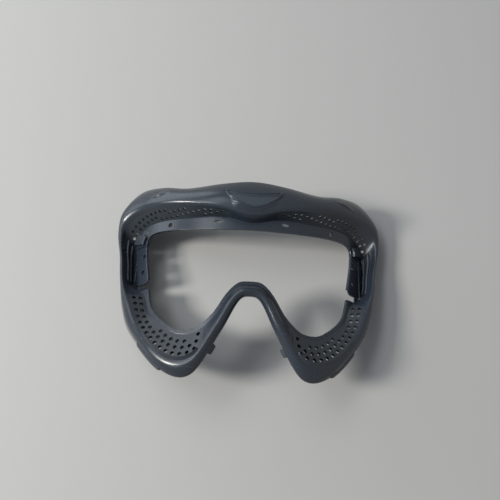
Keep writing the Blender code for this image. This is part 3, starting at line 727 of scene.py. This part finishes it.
def lens_seat():
    """Half sheet with open vents, mirrored, thickened, and cut by holes and clip bays."""
    stations = np.linspace(0, LAST_STATION, LAST_STATION * SEAT_STEPS + 1)
    stations = np.unique(np.concatenate([stations, BROW_VENT, CHEEK_VENT]))
    shares = np.concatenate([np.linspace(0, 1.0, 8), np.linspace(1.1, 2.0, 12)])
    rows = inner_grid(stations, shares)
    trimmed = sum(np.sin(stations * rate + rate) for rate in WEAR_RATES) * EDGE_WEAR
    rows[1:-1, -1] += (unit(rows[:, -1] - rows[:, -2]) * trimmed[:, None])[1:-1]
    rows[[0, -1], :, 0] = 0.0
    middle = (stations[:-1] + stations[1:]) / 2
    vent = np.zeros(len(middle), bool)
    for first, last in (BROW_VENT, CHEEK_VENT):
        vent |= (middle > first) & (middle < last)
    keep = ~(vent[:, None] & (shares[None, 1:] <= 1.0))
    item = sheet("lens_seat", rows, keep=keep)
    add_mirror(item)
    add_wall(item, SEAT_WALL, even=False)
    for station, share, width, length in SEAT_HOLES:
        spot = inner_point(np.array([station]), share)[0]
        spots = [spot, mirrored(spot)]
        add_cut(item, prisms("seat_hole", spots, [lens_normal(s) for s in spots], width,
                             DRILL_DEPTH, ROUND_SIDES, stretch=length / width))
    for side in reversed(SIDES):
        add_cut(item, upright("bay_" + side, clip_bay(), side))
    add_bevel(item, SEAT_EDGE, segments=2, angle=50)
    return settle(item)


hand_over(lens_seat(), "frame", "carrier_plastic", SEATING, "lens_carrier")

# %% [markdown]
# The vents.  A perforated screen fills the wall over the brow and over each cheek.  Its holes
# are small hexagons in staggered rows.  The rows are laid out along the rim, so that they bend
# with it, and each hole is cut square to the wall.

# %% Screens: where the holes are
BROW_HOLE, BROW_PITCH, CHEEK_HOLE, CHEEK_PITCH = 0.0022, 0.0042, 0.0031, 0.0048
BORDER, GAP = 0.0007, 0.0003
NOSE_MARGIN = 0.0022        # keeps the holes clear of the rim where it turns towards the nose
BROW_ROWS = ((0.98, 1.66, 0.25, 0.80), (1.36, 3.25, 0.12, 0.85), (2.02, 5.20, 0.10, 0.85),
             (2.75, 5.35, 0.08, 0.45))  # first and last station, share of the wall at each
FINE_COUNT = 400


def holes_along(line, down, begin, pitch, end_margin):
    """Equal steps of arc length along a line, with the direction square to the wall at each."""
    run = np.concatenate([[0], np.cumsum(np.linalg.norm(np.diff(line, axis=0), axis=1))])
    square = unit(np.cross(down, np.gradient(line, axis=0)))
    places = np.arange(begin, run[-1] - end_margin, pitch)
    spots = np.column_stack([np.interp(places, run, line[:, k]) for k in range(3)])
    turns = np.column_stack([np.interp(places, run, square[:, k]) for k in range(3)])
    return np.interp(places, run, np.arange(len(line))), spots, turns


def spaced(places, directions, least):
    """Leaves out each hole that would come nearer than least to one before it."""
    kept = []
    for index, place in enumerate(places):
        if all(np.linalg.norm(place - places[other]) >= least for other in kept):
            kept.append(index)
    return places[kept], directions[kept]


def screen_frame(first, last):
    """Close stations, the lip, the direction down the wall and the wall's depth at each."""
    fine = np.linspace(first, last, FINE_COUNT)
    lip, seat = lip_rail(fine), seat_rail(fine)
    room = np.linalg.norm(seat - lip, axis=1, keepdims=True)
    return fine, lip, (seat - lip) / room, room


def brow_holes():
    """Four rows that leave the rim one after the other and curve down to the seat."""
    margin = BROW_HOLE / 2 + BORDER + GAP
    places, directions = [], []
    for first, last, start, end in BROW_ROWS:
        fine, lip, down, room = screen_frame(first, last)
        u = (fine - first) / (last - first)
        share = start + (end - start) * (1 - (1 - u) ** 2)
        depth = np.clip(share[:, None] * room, margin, room - margin)
        _, spots, turns = holes_along(lip + down * depth, down, 0.0, BROW_PITCH, 0.0)
        places.append(spots)
        directions.append(turns)
    return spaced(np.vstack(places), np.vstack(directions), BROW_HOLE + BORDER)


def cheek_holes():
    """Staggered rows parallel to the rim, as many as there is room for."""
    fine, lip, down, room = screen_frame(*CHEEK_VENT)
    margin = CHEEK_HOLE / 2 + BORDER
    row_pitch = CHEEK_PITCH * math.sqrt(3) / 2
    places, directions = [], []
    for row in range(int(room.max() / row_pitch)):
        depth = margin + GAP + row * row_pitch
        begin = margin + (CHEEK_PITCH / 2 if row % 2 else 0.0)
        index, spots, turns = holes_along(lip + down * depth, down, begin, CHEEK_PITCH,
                                          margin + NOSE_MARGIN)
        fits = np.interp(index, np.arange(len(fine)), room[:, 0]) > depth + margin + GAP
        places.append(spots[fits])
        directions.append(turns[fits])
    return spaced(np.vstack(places), np.vstack(directions), CHEEK_HOLE + BORDER)


print("holes in a brow and a cheek screen:", len(brow_holes()[0]), len(cheek_holes()[0]))

# %% Screens: the pieces
BROW_SCREEN_WALL, CHEEK_SCREEN_WALL, SCREEN_EDGE, SCREEN_STEPS = 0.0012, 0.0024, 0.00018, 12
CHEEK_DRILL = CHEEK_HOLE * 0.92     # narrower than in the CAD, as the photograph shows them


def screen(name, window, pattern, width, wall, side, node):
    """Sheet between the lip and the foot of the wall, thickened and cut by its holes."""
    stations = np.linspace(*window, int((window[1] - window[0]) * SCREEN_STEPS) + 1)
    item = sheet(name, inner_grid(stations, np.linspace(0, 1, 9)), side)
    add_wall(item, wall)
    places, directions = pattern
    if side == "left":
        places, directions = mirrored(places), mirrored(directions)
    add_cut(item, prisms(name + "_cut", places, directions, width, wall * 3, HEX_SIDES))
    add_bevel(item, SCREEN_EDGE, segments=1, angle=60)
    return hand_over(settle(item), "frame", "screen_plastic", SCREENING, node)


for side in SIDES:
    screen("brow_screen_" + side, BROW_VENT, brow_holes(), BROW_HOLE, BROW_SCREEN_WALL, side,
           "brow_vent_" + side)
    screen("cheek_screen_" + side, CHEEK_VENT, cheek_holes(), CHEEK_DRILL, CHEEK_SCREEN_WALL,
           side, "cheek_vent_" + side)

# %% [markdown]
# A lens clip is a strip of the seat at the temple that is free at both ends.  When the lens
# snaps in, the clip bends about its outer edge, towards the face.  It is cut from the same sheet
# as the seat, which keeps it flush with it, and rides on a body of its own.

# %% Lens clips
CLIP_CORNER, CLIP_CORNER_X, CLIP_HOLE, CLIP_HOLE_X = 0.0030, 0.0655, 0.0030, 0.0702
CLIP_HOLES_Y, CLIP_SPAN, CLIP_EDGE = (0.0100, -0.0010), (5, 9.25), 0.00025


def clip_outline():
    """Outline in plan: the bay less its clearance, with a quarter circle at the free foot."""
    centre = (CLIP_CORNER_X + CLIP_CORNER, CLIP_BOTTOM_Y + CLIP_CORNER)
    corner = [(centre[0] - CLIP_CORNER * math.sin(t), centre[1] - CLIP_CORNER * math.cos(t))
              for t in np.linspace(0.0, math.pi / 2, 9)]
    hinge, top = CLIP_HINGE_X - CLIP_CLEARANCE, CLIP_TOP_Y - CLIP_CLEARANCE
    return [(CLIP_FREE_X, top), (hinge, top), (hinge, CLIP_BOTTOM_Y), *corner,
            (CLIP_FREE_X, centre[1])]


def lens_clip(side):
    """Sheet of the seat, thickened, drilled and trimmed to the clip's outline in plan."""
    name = "springy_clip_" + side
    stations = np.linspace(*CLIP_SPAN, 60)
    item = sheet(name, inner_grid(stations, np.linspace(1.0, 2.0, 14)), side)
    add_wall(item, SEAT_WALL, even=False)
    places = np.array([(CLIP_HOLE_X, y + SLIDE_Y, seat_height(CLIP_HOLE_X, y))
                       for y in CLIP_HOLES_Y])
    if side == "left":
        places = mirrored(places)
    add_cut(item, prisms(name + "_hole", places, [lens_normal(p) for p in places], CLIP_HOLE,
                         DRILL_DEPTH, ROUND_SIDES))
    add_cut(item, upright(name + "_trim", clip_outline(), side), "INTERSECT")
    add_bevel(item, CLIP_EDGE, segments=2, angle=50)
    return hand_over(settle(item), "clip_" + side, "carrier_plastic", SEATING, "lens_clip_" + side)


for side in SIDES:
    lens_clip(side)

# %% [markdown]
# Two beads run down the wall of each temple and stiffen it.  A bead is a round section, half
# sunk in the wall, carried along it and tapered at both ends, where the mould cutter ran out.

# %% Ribs
RIB_RADIUS, RIB_RISE, RIB_TAPER, RIB_END = 0.0008, 0.45, 0.06, 0.3
RIB_SPAN, RIB_SIDES = (5.55, 7.95), 16
RIB_SHARES = (("outer", 0.30), ("inner", 0.78))


def rib(place, share, side):
    """Circle carried along a line of the wall, its radius falling to a third at both ends."""
    stations = np.linspace(*RIB_SPAN, 70)
    lip, seat = lip_rail(stations), seat_rail(stations)
    line = lip + (seat - lip) * share
    lift = upward(unit(np.cross(seat - lip, np.gradient(lip, axis=0))))
    wide = unit(np.cross(unit(np.gradient(line, axis=0)), lift))
    spine = line + lift * (RIB_RADIUS * RIB_RISE)
    u = np.linspace(0, 1, len(stations))
    tapered = np.minimum(1, np.minimum(u, 1 - u) / RIB_TAPER) ** 0.5
    radius = RIB_RADIUS * (RIB_END + (1 - RIB_END) * tapered)
    turns = np.linspace(0, 2 * math.pi, RIB_SIDES, endpoint=False)
    points = (spine[:, None] + radius[:, None, None]
              * (np.cos(turns)[None, :, None] * lift[:, None]
                 + np.sin(turns)[None, :, None] * wide[:, None]))
    count, width = points.shape[:2]
    around, last = np.arange(width), (count - 1) * width
    after = (around + 1) % width
    start_fan = np.column_stack([np.full(width, count * width), after, around])
    end_fan = np.column_stack([np.full(width, count * width + 1), last + around, last + after])
    faces = quads(count, width, False, True).tolist() + start_fan.tolist() + end_fan.tolist()
    points = np.concatenate([points.reshape(-1, 3), spine[[0, -1]]])
    if side == "left":
        points = mirrored(points)
    item = outwards(mesh_piece("temple_bead_%s_%s" % (place, side), points, faces))
    return hand_over(settle(item), "frame", "trim_plastic", TRIM, "rib_%s_%s" % (place, side))


for side in SIDES:
    for place, share in RIB_SHARES:
        rib(place, share, side)

# %% [markdown]
# Small pads: a stop over each clip, a lug under each cheek and a hook on each side of the nose.
# Each follows the wall that it stands on, so it is a patch of that wall's grid, moved out by a
# hair.  The stop is a plain plate with rounded edges.  The lug and the hook swell from the wall.


# %% Stops over the clips
STOP_SPAN, STOP_SHARES, STOP_GAP = (4.72, 5.42), (1.10, 1.85), 0.3
STOP_WALL, STOP_ROUND = 0.0018, 0.0005


def lifted(rows, gap, up=True):
    """The patch moved along the direction square to it, upwards or as the grid turns."""
    lift = unit(np.cross(rows[:, -1] - rows[:, 0], np.gradient(rows[:, 0], axis=0)))
    if up:
        lift = upward(lift)
    return rows + lift[:, None, :] * np.asarray(gap)[..., None]


def corner_stop(side):
    """Patch of the seat, thickened upwards and rounded."""
    rows = inner_grid(np.linspace(*STOP_SPAN, 14), np.linspace(*STOP_SHARES, 10), GAP)
    item = sheet("corner_stop_" + side, lifted(rows, GAP * STOP_GAP), side)
    add_wall(item, STOP_WALL, offset=1.0)
    add_bevel(item, STOP_ROUND, segments=3, angle=40)
    return hand_over(settle(item), "frame", "trim_plastic", TRIM, "lens_stop_" + side)


print("a stop is %.1f mm thick" % (STOP_WALL / MM))

# %% Lugs and hooks
PATCH_STEPS, PAD_LIFT, PAD_EDGE = 40, 0.00006, 0.00022
LUG_SPAN, LUG_ROWS = (10.3, 11.05), (5, ROWS_SIDE + 12)
LUG_HEIGHT, LUG_BORDER = 0.0008, 0.0022
HOOK_SPAN, HOOK_ROWS = (12.55, 12.75), (0, ROWS_SIDE - 1)
HOOK_HEIGHT, HOOK_BORDER = 0.0019, 0.0009


def wall_patch(window, first, last):
    """Patch of the outer wall between two of its rows, over a stretch of stations."""
    return outer_section(np.linspace(*window, PATCH_STEPS))[:, first:last + 1]


def runs_across(rows):
    """Length of the way across the grid from its first point to each other point of the row."""
    steps = np.linalg.norm(np.diff(rows, axis=1), axis=2)
    return np.concatenate([np.zeros((len(rows), 1)), np.cumsum(steps, axis=1)], axis=1)


def swelling(name, patch, height, border, side, node):
    """Slab whose top rises from its edge: height times 1 - (1 - d/border)^2, d from the edge."""
    run = runs_across(patch)
    walk = np.linalg.norm(np.diff(patch, axis=0), axis=2).mean(axis=1)
    walk = np.concatenate([[0.0], np.cumsum(walk)])[:, None]
    inside = np.minimum(np.minimum(run, run[:, -1:] - run), np.minimum(walk, walk[-1] - walk))
    dome = height * (1 - (1 - np.clip(inside / border, 0, 1)) ** 2)
    bottom = lifted(patch, PAD_LIFT, up=False)
    top = lifted(patch, PAD_LIFT + PAD_EDGE + dome, up=False)
    item = slab(name, top, bottom, side)
    return hand_over(settle(item), "frame", "trim_plastic", TRIM, node)


for side in SIDES:
    corner_stop(side)
    swelling("cheek_lug_" + side, wall_patch(LUG_SPAN, *LUG_ROWS), LUG_HEIGHT, LUG_BORDER,
             side, "mask_lug_" + side)
    swelling("bridge_hook_" + side, wall_patch(HOOK_SPAN, *HOOK_ROWS), HOOK_HEIGHT, HOOK_BORDER,
             side, "nose_hook_" + side)

# %% [markdown]
# The badge place on the brow is a half-moon with a raised edge, doubled along its top.  It is
# left bare.  The field inside the edge is made with the same grid: the height above the brow
# depends on how far a point is from the outline.

# %% Patches on the brow
BADGE_HALF, BADGE_LOW, BADGE_HIGH, BADGE_TIP = 0.0182, 0.14, 0.57, 0.05
BROW_FOOT = 0.0007
BROW_REACH = crest_rail(np.array([1.0]))[0, 0]      # x of the rim at station 1


def brow_rows(stations, shares):
    """Points of the outer skin by share of the run from the rim (0) to the widest line (1)."""
    skin = outer_section(stations)[:, ROWS_SIDE:ROWS_SIDE + ROWS_SKIN + ROWS_RIM // 2 + 1]
    run = runs_across(skin)
    place = (1 - shares) * run[:, -1:]
    index = np.clip((place[:, :, None] > run[:, None, :]).sum(axis=2) - 1, 0, skin.shape[1] - 2)
    picked = np.arange(len(skin))[:, None]
    low, high = run[picked, index], run[picked, index + 1]
    u = ((place - low) / (high - low))[..., None]
    return skin[picked, index] * (1 - u) + skin[picked, index + 1] * u


def badge_low(across):
    """Share of the lower outline: half an ellipse that hangs from both tips."""
    depth = BADGE_HIGH - BADGE_TIP - BADGE_LOW
    return BADGE_HIGH - BADGE_TIP - depth * np.sqrt(np.maximum(1 - across ** 2, 0))


def brow_slab(name, rows, height):
    """Closed piece on the middle of the brow: its top at a height, its foot below the skin."""
    grids = []
    for rise in (height, np.full(height.shape, -BROW_FOOT)):
        half = lifted(rows, rise)
        half[0, :, 0] = 0.0
        grids.append(np.concatenate([mirrored(half[:0:-1]), half]))
    return slab(name, *grids)


print("station 1 of the rim is %.1f mm from the middle" % (BROW_REACH / MM))

# %% Badge
BADGE_SAG, BADGE_ENDS = 0.05, 0.992
FIELD, RIDGE, RIDGE_IN, RIDGE_WIDTH = 0.00020, 0.00100, 0.00065, 0.00036
SECOND_IN, SECOND_SHARE = 0.0026, 0.7


def away_from(rows, line):
    """Distance of each point of a grid from the nearest point of a line."""
    gap = rows.reshape(-1, 1, 3) - line[None, :, :]
    return np.sqrt((gap ** 2).sum(axis=2).min(axis=1)).reshape(rows.shape[:2])


def badge_grid(count, way):
    """Points of the half-moon: closer together towards its tip, by the sine of equal turns."""
    across = np.sin(np.linspace(0, math.pi / 2, count)) * BADGE_ENDS
    low, high = badge_low(across), BADGE_HIGH + BADGE_SAG * (across ** 2 - 1)
    shares = low[:, None] + (high - low)[:, None] * way[None, :]
    return brow_rows(across * BADGE_HALF / BROW_REACH, shares)


def badge():
    """Half-moon patch; bell-shaped ridges stand on a field by their distance from the edge."""
    rows = badge_grid(90, (1 - np.cos(np.linspace(0, math.pi, 76))) / 2)
    edges = badge_grid(360, np.array([0.0, 1.0]))
    below = away_from(rows, np.concatenate([edges[:, 0], rows[-1]]))
    above = away_from(rows, edges[:, 1])
    ridges = np.maximum(bell(below - RIDGE_IN, RIDGE_WIDTH), bell(above - RIDGE_IN, RIDGE_WIDTH))
    ridges = np.maximum(ridges, SECOND_SHARE * bell(above - SECOND_IN, RIDGE_WIDTH))
    item = brow_slab("half_moon_badge", rows, FIELD + RIDGE * ridges)
    return hand_over(settle(item, angle=60), "frame", "trim_plastic", TRIM, "badge_plate")


badge()

# %% [markdown]
# Between the badge and the rim the brow falls in three V-shaped steps, which follow the badge
# above and the dip of the rim below.  The height is a sum of S-shaped curves of the share of the
# way between the two.

# %% Brow steps
STEPS_HALF, STEPS_HEIGHT, STEPS_SUNK = 0.0175, 0.00150, 0.00014
STEPS_FADE, FADE_SOFTNESS = 0.0128, 0.0010
STEPS_START, STEPS_END, STEPS_OVER = 0.012, 0.30, 0.02      # shares of the way up the brow
STEP_SHARES, STEP_SOFTNESS = (0.22, 0.50, 0.78), 0.016


def rising(value, softness):
    """S-shaped curve from 0 to 1: one over one plus e to the power of minus value/softness."""
    return 1 / (1 + np.exp(-value / softness))


def brow_steps():
    """Patch from the rim to the badge, its height a staircase that fades out to the sides."""
    x = np.linspace(0, STEPS_HALF, 60)
    way = np.linspace(0, 1, 72)
    high = np.minimum(badge_low(np.minimum(x / BADGE_HALF, 0.99)), STEPS_END) + STEPS_OVER
    shares = STEPS_START + (high[:, None] - STEPS_START) * way[None, :]
    stairs = sum(rising(way - share, STEP_SOFTNESS) for share in STEP_SHARES) / len(STEP_SHARES)
    fade = rising(STEPS_FADE - x, FADE_SOFTNESS)
    height = STEPS_HEIGHT * fade[:, None] * stairs - STEPS_SUNK
    item = brow_slab("brow_steps", brow_rows(x / BROW_REACH, shares), height)
    return hand_over(settle(item, angle=60), "frame", "trim_plastic", SHELL, "brow_ridge")


brow_steps()

# %% [markdown]
# The face flange is the flat land that the foam is glued to.  It goes all the way round the
# face side.  Only its edge shows, so it needs a clean rounded section and no more.

# %% Face flange
FLANGE_WIDTH, FLANGE_WALL, FLANGE_ROUND, FLANGE_STEPS = 0.0062, 0.0016, 0.0004, 10


def flange_section():
    """Rectangle whose corners are quarter circles of four points."""
    far, top = FLANGE_WIDTH - FLANGE_ROUND, FLANGE_WALL - FLANGE_ROUND
    turns = np.linspace(0, math.pi / 2, 4)
    corners = ((FLANGE_ROUND, FLANGE_ROUND, math.pi), (far, FLANGE_ROUND, -math.pi / 2),
               (far, top, 0.0), (FLANGE_ROUND, top, math.pi / 2))
    return np.array([(x + FLANGE_ROUND * math.cos(begin + t), y + FLANGE_ROUND * math.sin(begin + t))
                     for x, y, begin in corners for t in turns])


def face_flange():
    """The section carried round the rear rail, square to it."""
    stations = np.linspace(0, LAST_STATION, LAST_STATION * FLANGE_STEPS + 1)
    inward, up = rear_frame(stations)
    section = flange_section()
    rows = (rear_rail(stations)[:, None] + inward[:, None] * section[None, :, :1]
            + up[:, None] * section[None, :, 1:])
    points = ring(rows)
    faces = quads(points.shape[0], points.shape[1], True, True)
    item = outwards(mesh_piece("foam_land", points, faces))
    return hand_over(settle(item), "frame", "shell_plastic", SHELL, "face_flange")


face_flange()

# %% [markdown]
# The picture: a plain pale floor and a pale room all round.  The floor is warm and matt, so that
# the blue of the plastic reads.  Far from the frame it turns into the backdrop's own colour, so
# no horizon shows.  Rays from the camera, and those that gloss or glass sends on, see the
# backdrop, and all others see the light of the room.

# %% Helpers for the stage
def pale_rays(tree):
    """One for rays from the camera and for those that gloss or glass sends on, else nought."""
    path = tree.nodes.new("ShaderNodeLightPath").outputs
    either = add_math(tree, "MAXIMUM", path["Is Camera Ray"], path["Is Glossy Ray"])
    return add_math(tree, "MAXIMUM", either, path["Is Transmission Ray"])


def blend_to_surface(tree, share, first, second, out):
    """Mix Shader that turns from the first shader into the second as the share grows."""
    blend = tree.nodes.new("ShaderNodeMixShader")
    tree.links.new(share, blend.inputs["Fac"])
    tree.links.new(first.outputs[0], blend.inputs[1])
    tree.links.new(second.outputs[0], blend.inputs[2])
    tree.links.new(blend.outputs[0], out.inputs["Surface"])


print("stage helpers: pale rays, blend")

# %% Floor
BACKDROP = (0.52, 0.53, 0.545, 1.0)
FLOOR_COLOUR, FLOOR_ROUGHNESS = (0.52, 0.507, 0.48, 1.0), 0.65
FLOOR_HALF, FLOOR_DROP, FADE_FROM, FADE_TO = 4.0, 0.0002, 0.32, 0.85


def floor_material():
    """Matt colour that gives way to the backdrop by distance from the middle."""
    material = bpy.data.materials.new("pale_floor")
    material.use_nodes = True
    tree = material.node_tree
    shader = tree.nodes["Principled BSDF"]
    shader.inputs["Base Color"].default_value = FLOOR_COLOUR
    shader.inputs["Roughness"].default_value = FLOOR_ROUGHNESS
    away = tree.nodes.new("ShaderNodeVectorMath")
    away.operation = "LENGTH"
    tree.links.new(tree.nodes.new("ShaderNodeTexCoord").outputs["Object"], away.inputs[0])
    fade = tree.nodes.new("ShaderNodeMapRange")
    fade.interpolation_type = "SMOOTHSTEP"
    fade.inputs["From Min"].default_value = FADE_FROM
    fade.inputs["From Max"].default_value = FADE_TO
    tree.links.new(away.outputs["Value"], fade.inputs["Value"])
    share = add_math(tree, "MULTIPLY", fade.outputs["Result"], pale_rays(tree))
    glow = tree.nodes.new("ShaderNodeEmission")
    glow.inputs["Color"].default_value = BACKDROP
    blend_to_surface(tree, share, shader, glow, tree.nodes["Material Output"])
    return material


def stage_floor():
    """Square just below the frame."""
    corners = [(x * FLOOR_HALF, y * FLOOR_HALF, -FLOOR_DROP)
               for x, y in ((-1, -1), (1, -1), (1, 1), (-1, 1))]
    floor = mesh_piece("floor", corners, [(0, 1, 2, 3)])
    floor.data.materials.append(floor_material())
    floor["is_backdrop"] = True
    print("floor: %.0f m square" % (2 * FLOOR_HALF))


stage_floor()

# %% [markdown]
# The lamps.  In the photograph a window on the left gives most of the light, and a pale wall and
# a ceiling shine softly.  A low, wide, bluish lamp past the brow stands for the light that the
# room sends back along the floor.

# %% Lamps
AIM = (0.0, 0.0, 0.02)
COOL = (0.88, 0.94, 1.0)
LAMPS = (("window", (-1.47, -0.24, 1.03), (0.36, 0.40), 28.0, (1.0, 0.99, 0.97)),
         ("pale_wall", (-1.03, 0.15, 1.47), (0.90, 0.40), 6.0, COOL),
         ("ceiling", (-0.75, 0.85, 1.30), (1.00, 0.60), 4.0, COOL),
         ("low_wall", (-1.20, 1.10, 0.42), (1.80, 0.70), 9.0, (0.84, 0.92, 1.0)))


def lamp(name, place, size, power, colour):
    """Soft rectangular lamp that faces the frame."""
    data = bpy.data.lights.new(name, "AREA")
    data.shape = "RECTANGLE"
    data.size, data.size_y = size
    data.energy = power
    data.color = colour
    item = placed(name, data)
    item.location = place
    item.rotation_euler = (Vector(AIM) - Vector(place)).to_track_quat("-Z", "Y").to_euler()
    print("lamp", name, power, "W")


for row in LAMPS:
    lamp(*row)

# %% World
ROOM, ROOM_STRENGTH = (0.80, 0.88, 1.0, 1.0), 0.18


def pale_room():
    """The backdrop for pale rays, and the room's light for all others."""
    world = bpy.data.worlds.new("pale_room")
    bpy.context.scene.world = world
    world.use_nodes = True
    tree = world.node_tree
    tree.nodes.clear()
    room, backdrop = [tree.nodes.new("ShaderNodeBackground") for _ in range(2)]
    for node, colour, strength in ((room, ROOM, ROOM_STRENGTH), (backdrop, BACKDROP, 1.0)):
        node.inputs["Color"].default_value = colour
        node.inputs["Strength"].default_value = strength
    out = tree.nodes.new("ShaderNodeOutputWorld")
    blend_to_surface(tree, pale_rays(tree), room, backdrop, out)
    print("room light:", ROOM_STRENGTH)


pale_room()
bpy.context.scene.view_settings.view_transform = "Standard"

# %% [markdown]
# The camera stands where the photograph was taken from: above the frame and a little to the
# left, tilted towards the brow.

# %% Camera
CAMERA_PLACE = (-0.01646454, -0.12032 + SLIDE_Y, 0.36865297)
CAMERA_LOOK = (0.04369362, 0.36569289, -0.9297094)
CAMERA_UP = (-0.05651529, 0.93001271, 0.36315614)
FOCAL_PIXELS, PICTURE_PIXELS, SENSOR = 562.7, 500, 36.0


def camera():
    """Lens: focal length in pixels over the picture's width, times the sensor's width."""
    data = bpy.data.cameras.new("camera")
    data.sensor_width = SENSOR
    data.lens = FOCAL_PIXELS / PICTURE_PIXELS * SENSOR
    data.clip_start, data.clip_end = 0.01, 20
    item = placed("camera", data)
    look, up = Vector(CAMERA_LOOK).normalized(), Vector(CAMERA_UP)
    right = look.cross(up).normalized()
    up = right.cross(look)
    turn = Matrix((right, up, -look)).transposed().to_4x4()
    item.matrix_world = Matrix.Translation(Vector(CAMERA_PLACE)) @ turn
    bpy.context.scene.camera = item
    print("lens: %.1f mm" % data.lens)


camera()

# %% Sizes and finish
NEW_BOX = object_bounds()
for title, box in (("CAD box", CAD_BOX), ("new box", NEW_BOX)):
    print(title, [[round(v / MM, 1) for v in corner] for corner in box])
